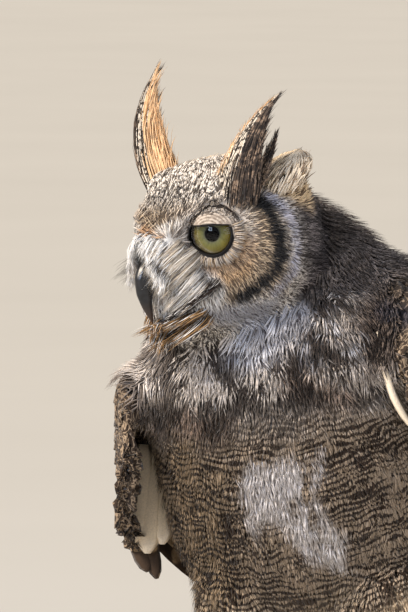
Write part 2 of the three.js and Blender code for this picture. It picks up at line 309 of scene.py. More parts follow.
# Feathers: matt keratin barbs, soft and hardly shiny. Their light and dark colours, and how far
# bars, speckles, blotches and squiggles cover them, are stored on the mesh.
def plumage(name):
    f = Finish(name)
    place = f.add("TexCoord").outputs["Object"]
    tint = f.add("Attribute", attribute_name="tint")
    dark = f.add("Attribute", attribute_name="dark")
    marks = f.add("Attribute", attribute_name="marks")
    bar_place = f.add("Attribute", attribute_name="bar_place").outputs["Fac"]
    share = f.add("SeparateColor", {"Color": marks.outputs["Color"]}).outputs
    # Each noise has its size in millimetres, its detail and its distortion.
    sizes = {"wobble": (15, 0.5, 0.2), "fade": (13, 1, 0.5), "speckle": (2.1, 2, 0.4),
             "blotch": (11, 3, 0.8), "squiggle": (6.5, 1, 1.6), "grain": (0.9, 2, 0)}
    noise = {word: f.add("TexNoise", {"Vector": place, "Scale": 1 / (size * MM), "Detail": detail,
                                      "Distortion": distortion})
             for word, (size, detail, distortion) in sizes.items()}
    waver = f.add("Math", {0: dark.outputs["Alpha"], 1: 3.4}, operation="MULTIPLY")
    moved = f.add("Math", {0: noise["wobble"], 1: waver, 2: bar_place}, operation="MULTIPLY_ADD")
    turn = f.add("Math", {0: moved, 1: 2 * math.pi}, operation="MULTIPLY")
    wave = f.add("Math", {0: turn}, operation="SINE")
    fade = f.add("Math", {0: noise["fade"], 1: 5.0, 2: -2.4}, operation="MULTIPLY_ADD")
    sides = f.add("Math", {0: noise["squiggle"], 1: 0.5}, operation="SUBTRACT")
    line = f.add("Math", {0: sides}, operation="ABSOLUTE")
    faded = f.add("Math", {0: wave, 1: fade}, operation="ADD")
    cover = 0.0
    for value, low, high, amount in ((faded, -0.05, 0.4, share["Red"]),
                                     (noise["speckle"], 0.47, 0.57, share["Green"]),
                                     (noise["blotch"], 0.45, 0.56, share["Blue"]),
                                     (line, 0.022, 0.052, marks.outputs["Alpha"])):
        shape = f.add("MapRange", {"Value": value, "From Min": low, "From Max": high},
                      interpolation_type="SMOOTHSTEP")
        part = f.add("Math", {0: shape, 1: amount}, operation="MULTIPLY")
        cover = f.add("Math", {0: part, 1: cover}, operation="MAXIMUM")
    base = f.add("Mix", {0: cover, 6: tint.outputs["Color"], 7: dark.outputs["Color"]}, data_type="RGBA")
    grain = f.add("Math", {0: noise["grain"], 1: 0.5, 2: 0.75}, operation="MULTIPLY_ADD")
    # The tint's alpha is a brightness: random tone, and on feathers painted shade darkening each lock
    # towards its root.
    shade = f.add("Math", {0: grain, 1: tint.outputs["Alpha"]}, operation="MULTIPLY")
    final = f.add("Mix", {0: 1.0, 6: base.outputs[2], 7: shade}, data_type="RGBA", blend_type="MULTIPLY")
    surface = f.add("BsdfPrincipled", {
        "Base Color": final.outputs[2], "Roughness": 0.82, "Specular IOR Level": 0.2,
        "Sheen Weight": 0.1, "Sheen Roughness": 0.5, "IOR": 1.54,
    })
    return f.ends(surface)


# Horn of the bill and claws: solid keratin, worn to a satin gloss, browner towards the bill's hook.
def horn():
    f = Finish("horn_keratin_satin")
    place = f.add("TexCoord").outputs["Object"]
    grain = f.add("TexNoise", {"Vector": place, "Scale": 1 / (2.5 * MM), "Detail": 4.0})
    shade = f.add("ValToRGB", {"Fac": grain}, [(0.3, "#09090b"), (0.75, "#212226")])
    dent = f.add("Bump", {"Height": grain, "Strength": 0.25, "Distance": 0.2 * MM})
    height = f.add("SeparateXYZ", {"Vector": place}).outputs["Z"]
    hook = f.add("MapRange", {"Value": height, "From Min": 0.292, "From Max": 0.280, "To Max": 0.8})
    above = f.add("Math", {0: height, 1: 0.15}, operation="GREATER_THAN")  # the bill, not the claws
    brown = f.add("Math", {0: hook, 1: above}, operation="MULTIPLY")
    final = f.add("Mix", {0: brown, 6: shade, 7: colour("#4a3527")}, data_type="RGBA")
    surface = f.add("BsdfPrincipled", {"Base Color": final.outputs[2], "Roughness": 0.3, "IOR": 1.54,
                                       "Normal": dent})
    return f.ends(surface)


# The eye behind the cornea: a black ball, and an iris that is paler round the pupil and dark at
# its rim, with fine spokes. The ring attribute runs from 0 at the pupil's edge to 1 at the rim.
def iris():
    f = Finish("iris_yellow_olive")
    ring = f.add("Attribute", attribute_name="ring").outputs["Fac"]
    spokes = f.add("Attribute", attribute_name="spokes").outputs["Vector"]
    grain = f.add("TexNoise", {"Vector": spokes, "Scale": 9.0, "Detail": 3.0})
    moved, mottle = (f.add("MapRange", {"Value": grain, "From Min": 0.3, "From Max": 0.7,
                                        "To Min": low, "To Max": high})
                     for low, high in ((-0.05, 0.05), (0.7, 1.25)))
    where = f.add("Math", {0: ring, 1: moved}, operation="ADD")
    band = f.add("ValToRGB", {"Fac": where}, [
        (0.0, "#020202"), (0.07, "#050403"), (0.10, "#4c4e41"), (0.28, "#63633f"), (0.62, "#6d662c"),
        (0.82, "#5d521b"), (0.92, "#2d240c"), (0.97, "#060503")])
    final = f.add("Mix", {0: 1.0, 6: band, 7: mottle}, data_type="RGBA", blend_type="MULTIPLY")
    surface = f.add("BsdfPrincipled", {"Base Color": final.outputs[2], "Roughness": 0.9, "IOR": 1.4,
                                       "Specular IOR Level": 0.0})
    return f.ends(surface)


# Cornea: clear wet tissue. It shows only its highlights, stronger towards its edge.
def cornea():
    f = Finish("cornea_clear_wet")
    clear = f.add("BsdfTransparent")
    gloss = f.add("BsdfAnisotropic", {"Roughness": 0.03})
    mirror = f.add("Fresnel", {"IOR": 1.376})
    share = f.add("Math", {0: mirror, 1: 0.45}, operation="MULTIPLY")
    return f.ends(f.add("MixShader", {0: share, 1: clear, 2: gloss}))


# Painted plaster of a studio floor: pale, even and matt.
def plaster():
    f = Finish("floor_plaster_pale")
    place = f.add("TexCoord").outputs["Object"]
    grain = f.add("TexNoise", {"Vector": place, "Scale": 3.0, "Detail": 2.0})
    shade = f.add("ValToRGB", {"Fac": grain}, [(0, "#c6c3bd"), (1, "#cdcac4")])
    return f.ends(f.add("BsdfPrincipled", {"Base Color": shade, "Roughness": 0.9}))


# ---- markings

# Each finish is its light colour, its dark colour, and how far marks of the dark cover the light.
# Bars, speckles, blotches and squiggles run over feathers; clumps are whole dark feathers, hearts
# dark middles with pale edges, and ticks single dark barbs. Steady bars waver less.
SHARES = ("bars", "speckles", "blotches", "squiggles", "clumps", "hearts", "ticks", "steady")
FINISHES = {
    "crown": ("#fbf1e4", "#33261e", {"ticks": 0.2, "speckles": 0.9}),
    "disc_inner": ("#cfc5ba", "#574a41", {"ticks": 0.36}),
    "disc": ("#c8b296", "#45362c", {"ticks": 0.42}),
    "disc_warm": ("#dcb384", "#5d432e", {"ticks": 0.3}),
    "rim": ("#151112", "#070507", {"ticks": 0.5}),
    "band": ("#cbc8d2", "#4c464c", {"ticks": 0.25, "speckles": 0.2}),
    "side": ("#7f7675", "#1a1516", {"clumps": 0.75, "speckles": 0.5, "ticks": 0.35}),
    "brow_white": ("#f2ebe2", "#8a7a68", {"ticks": 0.1}),
    "brow_brown": ("#c9a077", "#54392a", {"ticks": 0.35}),
    "lores": ("#fbf9f6", "#8f867c", {"ticks": 0.08}),
    "chin": ("#eeeae5", "#6b5a4c", {"ticks": 0.12}),
    # Near-black: the gape's own colour, and painted shade along the crease under each brow.
    "gape": ("#2e211a", "#120c09", {"ticks": 0.5}),
    "beard": ("#b8905f", "#2a1e17", {"ticks": 0.4}),
    "buff_patch": ("#efd2a8", "#4c382c", {"ticks": 0.25, "clumps": 0.45}),
    "neck": ("#94877f", "#17110f", {"speckles": 0.8, "blotches": 0.5, "clumps": 0.2}),
    # Painted shade in part: the throat's white greyed towards lilac for the head's shadow over it.
    "bib": ("#d9d8dd", "#4a4145", {"clumps": 0.4, "ticks": 0.06}),
    "breast": ("#e4d9cf", "#2b1f18", {"clumps": 0.95, "speckles": 0.35, "bars": 0.3}),
    "breast_dark": ("#8a7262", "#20160f", {"clumps": 0.9, "speckles": 0.5}),
    "belly": ("#a5927d", "#2b1a0b", {"bars": 0.97}),
    "flank": ("#927d63", "#241507", {"bars": 0.98}),
    "vent": ("#b8a68f", "#3a2819", {"bars": 0.85}),
    # Painted shade in part: the patch's white greyed a little for the half-shade over it.
    "patch": ("#ded8d7", "#6b5c50", {"bars": 0.14}),
    "back": ("#a8937c", "#1f1712", {"squiggles": 0.9, "hearts": 0.6}),
    "coverts": ("#bfa78b", "#2e2118", {"squiggles": 0.95, "hearts": 0.35, "clumps": 0.25}),
    "lining": ("#f3e2c8", "#7a5b3e", {}),
    "shoulder": ("#ebe0d6", "#4a392d", {"clumps": 0.75, "speckles": 0.15}),
    "shoulder_dark": ("#75665b", "#1e130d", {"clumps": 0.9, "speckles": 0.7}),
    "scapular": ("#55525e", "#0e0e15", {"squiggles": 0.9, "hearts": 0.5, "clumps": 0.4}),
    "thigh": ("#cbb496", "#4a3626", {"bars": 0.6, "ticks": 0.1}),
    "foot": ("#d8c6a8", "#5d4832", {"bars": 0.3, "ticks": 0.15, "speckles": 0.25}),
    "quill": ("#a99172", "#33241a", {"bars": 0.95, "speckles": 0.25, "steady": 1}),
    "lid": ("#d6c8b8", "#6d5c4f", {"speckles": 0.45}),
    "lid_black": ("#0c0808", "#050303", {}),
    "puff": ("#fbe8cd", "#745b46", {"ticks": 0.12}),
    "tuft_edge": ("#efe2cf", "#2f231c", {"ticks": 0.12, "speckles": 0.95}),
    "tuft_dark": ("#957f6c", "#171010", {"ticks": 0.35, "blotches": 0.8, "speckles": 0.85}),
    "tuft_buff": ("#eec79a", "#b98a5a", {"ticks": 0.07, "speckles": 0.2}),
    "bristle": ("#d9ccba", "#54463a", {"ticks": 0.26}),
    "whisker": ("#fbf9f6", "#8f877d", {"ticks": 0.08}),
}


def finish_values(name):
    light, dark, shares = FINISHES[name]
    return np.concatenate([linear(light), linear(dark), [shares.get(word, 0) for word in SHARES]])


# Lines on the left of the head, in its own frame in millimetres; the right side mirrors them.
RIM = [(40, -13, 29), (46, -11, 22), (53, -9, 13), (55, -9, 1), (54, -10, -12), (50, -15, -21),
       (45, -21, -27), (37, -28, -32)]
CREASE = [(20, -47, 13), (24.5, -41.5, 19.5), (29.5, -35, 26.5), (36, -29, 21), (41, -26, 15)]
BUFF_PATCH = [(26, 9, 36), (37, 13, 30), (41, 22, 22)]
DISC_AT = np.array([27, 4]) * MM  # the middle of the disc round the eye: across and up

# Finishes laid along lines of the head, in order: on its front alone or all of it, how strongly,
# how far each reaches from its line, and how softly it ends. The second lot lies over the rim.
DISC_LINES = [
    ("disc_warm", "front", 0.7, 4, 9, [(27, -40, -16), (40, -31, -12), (42, -28, -2)]),
    ("buff_patch", "all", 1, 11, 10, BUFF_PATCH),
    ("band", "all", 1, 2.5, 3.5, [(46, -4, 25), (53, 0, 15), (58, 3, 3), (58, 2, -11), (54, -2, -25),
                                  (47, -11, -34)]),
    ("lores", "front", 1, 6, 6, [(8, -62, 6), (12, -60, -6), (15, -56, -18)]),
    ("chin", "front", 1, 9, 8, [(0, -56, -32), (14, -54, -27), (24, -47, -26)]),
]
BILL_LINES = [
    ("beard", "front", 1, 4, 5, [(0, -50, -46), (14, -45, -44)]),
    ("gape", "front", 1, 1.2, 2, [(29, -39, -22), (20, -50, -29), (3, -55, -40)]),
    ("brow_brown", "front", 1, 1.5, 3, [(0, -63, 15), (11, -61, 12)]),
    ("brow_white", "front", 1, 2, 2, [(9, -61, 15), (14, -58, 16), (23, -45, 18)]),
    # Painted shade: a near-black line along the crease, where the brow shades it.
    ("gape", "front", 1, 0.3, 1.2, CREASE),
]

# Places on the breast, in the upright trunk's frame in millimetres.
BIB = [(-27, -72, 278), (-12, -66, 264), (6, -64, 266), (24, -58, 282)]
BREAST_DARK = [[(-77, -27, 230), (-53, -53, 226), (-31, -62, 222)], [(24, -66, 241), (47, -57, 229)]]
PATCH = [(-7, -60, 186), (7, -59, 184), (3, -57, 172), (8, -52, 156), (16, -42, 134)]
BREAST_SPOTS = [(43, -55, 267), (33, -62, 257), (55, -50, 262)]
SCAPULARS = [(76, -26, 266), (86, -10, 252), (88, 10, 240)]


def mirrored(points):
    return np.abs(points * [1, 0, 0]) + points * [0, 1, 1]


def paint(marks, mask, finish):
    """Lays a finish over the markings so far, by its mask."""
    return marks + mask[:, None] * (finish_values(finish) - marks)


def on(region, *names):
    """1 where the region is one of those named, and 0 elsewhere."""
    return np.isin(region, [REGIONS.index(name) for name in names]).astype(float)


def from_disc(head):
    """How far places on the head are from the middle of the nearer facial disc, seen from ahead."""
    return np.hypot(np.abs(head[:, 0]) - DISC_AT[0], head[:, 2] - DISC_AT[1])


def markings(points, region):
    """Each point's light and dark colours and the cover of its marks, on skin and feathers alike."""
    body = to_body(wandering(points, 18, 3.5))
    ragged = wandering(body, 9, 5)
    x, y, z = body.T
    trunk, neck, torso, wing = (on(region, *names) for names in (
        ["trunk"], ["neck"], ["trunk", "neck"], ["wing"]))
    shoulder = trunk * ramp(z, 0.225, 0.25) * ramp(np.abs(x), 0.045, 0.065)
    layers = [
        (trunk * ramp(-x, 0.015, 0.055), "flank"),
        (trunk * ramp(z, 0.205, 0.235), "breast"),
        *((trunk * 0.9 * near(body, line, 6, 10), "breast_dark") for line in BREAST_DARK),
        (trunk * near(ragged, PATCH, 11, 9), "patch"),
        (trunk * ramp(-z, -0.125, -0.100), "vent"),
        (trunk * ramp(y, 0.005, 0.03) * ramp(z, 0.12, 0.16), "back"),
        (trunk * near(body, BIB, 8, 10), "bib"),
        (shoulder, "shoulder"),
        (shoulder * ramp(x, 0.0, 0.02), "shoulder_dark"),
        (neck, "neck"),
        (neck * ramp(-y, 0.05, 0.06) * ramp(-z, -0.305, -0.29), "bib"),
        *((torso * near(ragged, [spot, spot], 4, 5), "bib") for spot in BREAST_SPOTS),
        (torso * near(body, SCAPULARS, 8, 10), "scapular"),
        (on(region, "thigh"), "thigh"),
        (on(region, "foot"), "foot"),
        (wing, "coverts"),
        (wing * ramp(z, 0.24, 0.28), "back"),
        (wing * near(body, SCAPULARS, 10, 12), "scapular"),
    ]

    head = mirrored(to_head(points))
    x, y, z = head.T
    skull = on(region, "head")
    front = skull * ramp(-y, -0.002, 0.012)
    lines = [[((front if where == "front" else skull) * share * near(head, line, reach, soft), finish)
              for finish, where, share, reach, soft, line in table]
             for table in (DISC_LINES, BILL_LINES)]
    layers += [
        (skull, "crown"),
        (skull * ramp(y, -0.005, 0.02) * ramp(-z, -0.03, -0.02), "side"),
        (front * (1 - ramp(from_disc(head), 0.036, 0.042)) * (1 - ramp(z, 0.02, 0.03)), "disc"),
        (front * (1 - ramp(from_disc(head), 0.017, 0.024)), "disc_inner"),
        *lines[0],
        (front * ramp(-z, 0.033, 0.040) * ramp(x, 0.014, 0.026), "bib"),
        (skull * near(wandering(head, 5, 1.0), RIM, 3.8, 1.6), "rim"),
        *lines[1],
    ]
    marks = np.tile(finish_values("belly"), (len(points), 1))
    for mask, finish in layers:
        marks = paint(marks, mask, finish)
    return marks


def darkened(marks, mask):
    """The markings with their light colour drawn towards their dark one."""
    light, dark, rest = marks[..., :3], marks[..., 3:6], marks[..., 6:]
    return np.concatenate([light + mask[..., None] * (dark - light), dark, rest], -1)


def clumped(marks, points):
    """Turns whole patches of feathers dark, for finishes that clump."""
    return darkened(marks, share_of(marks, "clumps") * ramp(drift(points, 14, 7), -0.12, 0.14))


def share_of(marks, word):
    return marks[..., 6 + SHARES.index(word)]


def bar_places(points):
    """How many bars down the body a point is; the bars hang in shallow curves across the belly."""
    body = to_body(points)
    return (body[..., 2] - 2.2 * body[..., 0] ** 2) / BAR_PITCH


def store_markings(mesh, marks, bar_place, shade):
    waver = 1 - 0.88 * share_of(marks, "steady")[:, None]
    attribute(mesh, "tint", "FLOAT_COLOR", np.hstack([marks[:, :3], shade[:, None]]))
    attribute(mesh, "dark", "FLOAT_COLOR", np.hstack([marks[:, 3:6], waver]))
    attribute(mesh, "marks", "FLOAT_COLOR", marks[:, 6:10])
    attribute(mesh, "bar_place", "FLOAT", bar_place)


# ---- skin

FLESH = nodes_named("head", "neck", "trunk", "wing_coverts", "thigh", "tarsus", "foot", "toe")


def region_named(node):
    word = node.split("_")[0]
    return "foot" if word in ("tarsus", "toe") else word


def flesh_tree():
    """The flesh nodes as one search tree, and the region number of each of its triangles."""
    corners, faces, regions = [], [], []
    for node in FLESH:
        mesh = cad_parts[node].data
        start = len(corners)
        corners.extend(v.co.copy() for v in mesh.vertices)
        faces.extend([start + i for i in p.vertices] for p in mesh.polygons)
        regions.extend([REGIONS.index(region_named(node))] * len(mesh.polygons))
    return BVHTree.FromPolygons(corners, faces), np.array(regions)


def region_of(points):
    tree, regions = FLESH_TREE
    return regions[nearest_on(tree, points)[2]]


def relaxed(values, edges, rounds):
    """A value at each corner of a mesh, drawn towards its neighbours' mean."""
    size = len(values)
    ends, starts = np.concatenate([edges, edges[:, ::-1]]).T
    count = np.bincount(ends, minlength=size)
    for _ in range(rounds):
        values = np.bincount(ends, values[starts], size) / count
    return values


def shoulder(points):
    """1 where the breast and neck run out over the wings, and 0 elsewhere."""
    body = to_body(points)
    high = ramp(body[:, 2], 0.215, 0.245) * (1 - ramp(body[:, 2], 0.300, 0.320))
    return high * ramp(np.abs(body[:, 0]), 0.025, 0.045) * (1 - ramp(np.abs(body[:, 0]), 0.085, 0.100))


def bare_skin():
    """The soft nodes drawn together into one smooth body, as deep below them as the coat. They
    are grown first and drawn in again after, which closes the clefts between them."""
    bm = bmesh.new()
    for node in FLESH:
        grown = copy_of([node])
        for vert in grown.verts:
            filled = shoulder(np.array([vert.co]))[0] * 9
            vert.co += vert.normal * (SWELL[region_named(node)] + filled) * MM
        join(bm, grown)
    bm = remeshed(bm, VOXEL)
    smoothed(bm, 8)
    mesh = mesh_of("skin", bm)
    edges = values_of(mesh.edges, "vertices", 2, np.int32)
    points, normals = positions(mesh), normals_of(mesh)
    region, head = region_of(points), to_head(points)
    depth = sum(np.array([sizes[name] for name in REGIONS])[region] for sizes in (COAT_DEPTH, SWELL))
    depth = depth * MM + shoulder(points) * MM
    face = (np.linalg.norm(head, axis=1) < 0.075) * ramp(-head[:, 1], 0.0, 0.02)
    depth = relaxed(depth - face * 1.3 * MM, edges, 12)
    crease = near(mirrored(head), CREASE, 0.5, 3)
    points = points - normals * (depth + 1.2 * MM * crease)[:, None]
    body = to_body(points)
    lowered = relaxed(on(region, "wing") + 0.3 * on(region, "trunk"), edges, 8)
    lowered *= ramp(-body[:, 0], 0.055, 0.080)
    body[:, 2] -= 0.65 * lowered * np.maximum(body[:, 2] - WING_TOP, 0)
    mesh.vertices.foreach_set("co", from_body(body).ravel())
    bm = bmesh.new()
    bm.from_mesh(mesh)
    bpy.data.meshes.remove(mesh)
    smoothed(bm, 2)
    return bm


# ---- eyes and lids

def gaze(side):
    """An eye's own frame: across to the bird's left, up, and the way it looks."""
    azimuth, elevation = math.radians(GAZE_AZIMUTH), math.radians(GAZE_ELEVATION)
    left_look = unit(np.array([math.sin(azimuth), -math.cos(azimuth), math.tan(elevation)]))
    look = HEAD_TURN @ (HEAD_TURN.T @ left_look * [side, 1, 1])
    across = unit(np.cross([0, 0, 1], look))
    return np.array([across, np.cross(look, across), look])


def eye_middle(side):
    return middle("eye_left" if side > 0 else "eye_right")


def spun(profile, steps):
    """A closed surface of revolution about Z from a profile of (reach, height) pairs."""
    bm = bmesh.new()
    verts = [bm.verts.new((reach, 0, height)) for reach, height in profile]
    edges = [bm.edges.new(pair) for pair in zip(verts[:-1], verts[1:])]
    bmesh.ops.spin(bm, geom=verts + edges, cent=(0, 0, 0), axis=(0, 0, 1), angle=2 * math.pi,
                   steps=steps, use_merge=True)
    bmesh.ops.remove_doubles(bm, verts=bm.verts, dist=1e-6)
    bmesh.ops.recalc_face_normals(bm, faces=bm.faces)
    return bm


def put_in_eye(mesh, side):
    """Turns a shape made about Z the way an eye looks, and smooths its shading."""
    mesh.vertices.foreach_set("co", (eye_middle(side) + positions(mesh) @ gaze(side)).ravel())
    mesh.shade_smooth()
    mesh.update()


def arc(radius, start, end, steps):
    return [(radius * math.sin(a), radius * math.cos(a)) for a in np.linspace(start, end, steps)]


def eyeball(side, word):
    """A dark ball whose front is a shallow iris round a sunken pupil."""
    ball = EYE_RADIUS - 0.4 * MM
    rim = math.asin(IRIS_RADIUS / ball)
    plane = ball * math.cos(rim) - 0.8 * MM
    breadth = IRIS_RADIUS - PUPIL_RADIUS
    iris_line = [(r, plane + 0.5 * MM * math.sin(math.pi * (r - PUPIL_RADIUS) / breadth))
                 for r in np.linspace(IRIS_RADIUS, PUPIL_RADIUS, 12)]
    pupil = [(PUPIL_RADIUS * 0.96, plane - 0.8 * MM), (0, plane - 0.8 * MM)]
    mesh = mesh_of("eyeball_" + word, spun(arc(ball, math.pi, rim, 20) + iris_line + pupil, 72))
    local = positions(mesh)
    reach = np.hypot(local[:, 0], local[:, 1])
    on_iris = (np.abs(local[:, 2] - plane) < 0.6 * MM) & (reach > PUPIL_RADIUS * 0.98)
    ring = np.where(on_iris, 0.1 + 0.85 * (reach - PUPIL_RADIUS) / breadth, 0)
    turn = np.arctan2(local[:, 1], local[:, 0])
    attribute(mesh, "ring", "FLOAT", np.where(reach > IRIS_RADIUS * 0.999, 1, ring))
    attribute(mesh, "spokes", "FLOAT_VECTOR", np.stack([np.cos(turn), np.sin(turn), reach / 0.03], 1))
    put_in_eye(mesh, side)
    new_piece("eyeball_" + word, mesh, IRIS, ["eye_" + word])


def cornea_cap(side, word):
    rim = math.asin((IRIS_RADIUS + 0.7 * MM) / EYE_RADIUS)
    wall = 0.35 * MM
    profile = arc(EYE_RADIUS, 0, rim, 14) + arc(EYE_RADIUS - wall, rim, 0, 14)
    mesh = mesh_of("cornea_" + word, spun(profile, 72))
    put_in_eye(mesh, side)
    new_piece("cornea_" + word, mesh, CORNEA)


def lid_edge(turn, side):
    """How far the opening between the lids reaches round the pupil: a circle cut flat above, with
    an inner corner towards the bill."""
    x, y = np.cos(turn) * side, np.sin(turn)
    cut = (LID_CUT + 0.6 * MM * x) / np.maximum(y, 1e-3)
    corner = np.exp(-((np.arctan2(y + 0.2, -x) / 0.45) ** 2))
    return np.minimum(IRIS_RADIUS + 0.1 * MM, cut) + 2.6 * MM * corner


def lid(side):
    """A closed ring of lid skin round one eye, with its folds above and a rolled edge."""
    turns = np.linspace(0, 2 * math.pi, 97)
    start = np.arcsin(lid_edge(turns, side) / EYE_RADIUS)
    above = np.maximum(np.sin(turns), 0)

    def ring(share, stands, fullness):
        tilt = start + (math.radians(82) - start) * share
        folds = (0.5 + 0.42 * np.sin(tilt * LID_FOLDS)) * MM * above * fullness
        reach = EYE_RADIUS + stands * MM + folds
        local = [np.cos(turns) * np.sin(tilt), np.sin(turns) * np.sin(tilt), np.cos(tilt)]
        return eye_middle(side) + (np.stack(local, 1) * reach[:, None]) @ gaze(side)

    rings = [ring(0, 0.12, 0), ring(0, 0.55, 0), ring(0.01, 0.9, 0.3)]
    rings += [ring(share, 0.9, 1) for share in np.linspace(0.03, 1, 40)]
    rings += [ring(1, 0.12, 0), ring(0.5, 0.12, 0), rings[0]]
    bm = bmesh.new()
    bmesh.ops.create_grid(bm, x_segments=len(turns) - 1, y_segments=len(rings) - 1, size=1)
    for vert, place in zip(bm.verts, np.concatenate(rings)):
        vert.co = place
    bmesh.ops.remove_doubles(bm, verts=bm.verts, dist=1e-7)
    bmesh.ops.recalc_face_normals(bm, faces=bm.faces)
    return bm


def past_lid_edge(points):
    """How far round the lid each point is from the opening, how high it lies, and its tilt."""
    side = np.where(to_head(points)[:, 0] > 0, 1, -1)
    past, up, lean = (np.empty(len(points)) for _ in range(3))
    for one in (1, -1):
        own = side == one
        local = (points[own] - eye_middle(one)) @ gaze(one).T
        turn = np.arctan2(local[:, 1], local[:, 0])
        tilt = np.arccos(local[:, 2] / np.linalg.norm(local, axis=1))
        past[own] = (tilt - np.arcsin(lid_edge(turn, one) / EYE_RADIUS)) * EYE_RADIUS
        up[own], lean[own] = np.sin(turn), tilt
    return past, up, lean


def lid_marks(points):
    """The markings of the lids: black along the edge and in the inner corner, pale over the folds, with
    painted shade in the hollows between them.
    """
    past, up, lean = past_lid_edge(points)
    marks = np.tile(finish_values("lid"), (len(points), 1))
    # Painted shade: the upper lid's colour darkened in the hollows between its folds.
    marks = darkened(marks, ramp(-np.sin(lean * LID_FOLDS), 0.2, 0.95) * ramp(up, 0.1, 0.5) * 0.75)
    below = ramp(-up, -0.1, 0.2)
    return paint(marks, 1 - ramp(past, (0.9 + 0.9 * below) * MM, (1.3 + 1.3 * below) * MM), "lid_black")


def whole_skin():
    """The one skin of the bird, lids included, unwrapped on its own shape."""
    bm = bare_skin()
    body_count = len(bm.verts)
    for side in (1, -1):
        join(bm, lid(side))
    mesh = mesh_of("skin", bm)
    mesh.uv_layers.new(name="OFBake")
    piece = new_piece("skin", mesh, PLUMAGE, FLESH)
    bpy.context.view_layer.objects.active = piece
    piece.select_set(True)
    bpy.ops.object.mode_set(mode="EDIT")
    bpy.ops.mesh.select_all(action="SELECT")
    bpy.ops.uv.smart_project(angle_limit=math.radians(66), island_margin=0.002)
    bpy.ops.object.mode_set(mode="OBJECT")
    piece.select_set(False)
    mesh.shade_smooth()
    points = positions(mesh)
    marks = markings(points, region_of(points))
    marks[body_count:] = lid_marks(points[body_count:])
    store_markings(mesh, clumped(marks, points), bar_places(points), np.full(len(points), 0.8))
    return mesh, body_count


# ---- the coat's lie

def lie(points, region):
    """The way the feathers point: back from the bill, out from each eye, and down the body."""
    head, body = to_head(points), to_body(points)
    x, y, z = mirrored(head).T
    left = head[:, 0]

    def way(across, along, up):
        return unit(np.stack(np.broadcast_arrays(across, along, up), 1))

    out = way((x - EYE_AT[0]) * np.sign(left), 0.006, z - EYE_AT[2])
    disc = (1 - ramp(from_disc(head), 0.036, 0.05)) * ramp(-y, -0.01, 0.01)
    beside_bill = (1 - ramp(x, 0.010, 0.018)) * (1 - ramp(z, 0.004, 0.010)) * ramp(-y, 0.03, 0.04)
    on_head = way(left * 4, 1.0, -0.2 - 12 * np.maximum(y, 0))
    for mask, heading in (
        (disc, out),
        (ramp(z, 0.014, 0.022) * ramp(-y, 0.02, 0.04), way(left * 10, 0.5, 1.0)),  # up the brow
        (ramp(-z, 0.030, 0.040), way(left * 8, 0.7, -0.8)),  # back along the throat
        (beside_bill, way(left * -14, -0.5, -0.9)),
        (near(mirrored(head), BUFF_PATCH, 8, 10), way(left * 8, 0.9, 0.8)),  # up behind the tufts
    ):
        on_head = on_head + mask[:, None] * (heading - on_head)

    down = way(body[:, 0] * 1.2, 0.9 * ramp(body[:, 1], 0.0, 0.05), -1.0) @ LEAN.T
    along_wing = way(0 * x, 0.25 + 0.5 * ramp(-body[:, 2], -0.26, -0.16), -1.0) @ LEAN.T
    legs = way(0 * x, 0.0, -1.0)
    foot_at = np.array([middle("foot_left"), middle("foot_right")])
    own = foot_at[(points[:, 0] < foot_at.mean(0)[0]).astype(int)]
    outwards = unit((points - own) * [1, 1, 0] + [0, 0, -0.004])
    low = ramp(-points[:, 2], -0.028, -0.018)[:, None]
    feet = unit(legs * (1 - low) + outwards * low)
    choice = {"head": unit(on_head) @ HEAD_TURN.T, "neck": down, "trunk": down, "wing": along_wing,
              "thigh": legs, "foot": feet}
    return np.stack([choice[name] for name in REGIONS])[region, np.arange(len(points))]


# ---- feathers

class Skin:
    """The finished skin as arrays and a search tree, for feathers to root in and lie on."""

    def __init__(self, mesh, body_count):
        mesh.calc_loop_triangles()
        self.points = positions(mesh)
        self.normals = normals_of(mesh)
        self.corners = values_of(mesh.loop_triangles, "vertices", 3, np.int32)
        loops = values_of(mesh.loop_triangles, "loops", 3, np.int32)
        self.uv = values_of(mesh.uv_layers["OFBake"].data, "uv", 2)[loops]
        a, b, c = self.points[self.corners].transpose(1, 0, 2)
        turned = np.cross(b - a, c - a)
        self.area = np.linalg.norm(turned, axis=1) / 2
        self.facing = unit(turned)
        self.centre = (a + b + c) / 3
        self.on_lid = (self.corners >= body_count).all(1)
        self.region = region_of(self.centre)
        self.region[self.on_lid] = REGIONS.index("head")
        self.tree = BVHTree.FromPolygons(self.points.tolist(), self.corners.tolist())

    def nearest(self, points):
        """The nearest places on the skin, its facing there, and their places on the unwrap."""
        places, normals, triangles = nearest_on(self.tree, points)
        return places, normals, self.uv[triangles].mean(1)


def rooted(skin, mask, spacing, rng):
    """Roots on the masked skin, evenly apart: each has its place, normal, bake place, region and
    the way its feather points, give or take a few degrees."""
    weight = skin.area * mask
    count = int(6 * weight.sum() / (spacing * MM) ** 2)
    which = rng.choice(len(weight), count, p=weight / weight.sum())
    shares = rng.random((count, 2))
    shares = np.where(shares.sum(1, keepdims=True) > 1, 1 - shares, shares)
    shares = np.hstack([1 - shares.sum(1, keepdims=True), shares])
    points = (skin.points[skin.corners[which]] * shares[:, :, None]).sum(1)
    tree = KDTree(count)
    for i, p in enumerate(points.tolist()):
        tree.insert(p, i)
    tree.balance()
    too_near = np.zeros(count, bool)
    kept = []
    for i, p in enumerate(points.tolist()):
        if not too_near[i]:
            kept.append(i)
            too_near[[j for _, j, _ in tree.find_range(p, spacing * MM)]] = True
    which, shares, points = which[kept], shares[kept][:, :, None], points[kept]
    normals = unit((skin.normals[skin.corners[which]] * shares).sum(1))
    region = skin.region[which]
    ways = lie(points, region)
    ways = unit(ways - (ways * normals).sum(1, keepdims=True) * normals)
    angle = np.radians(rng.normal(0, 7, len(kept)))[:, None]
    ways = ways * np.cos(angle) + np.cross(normals, ways) * np.sin(angle)
    return points, normals, (skin.uv[which] * shares).sum(1), region, ways


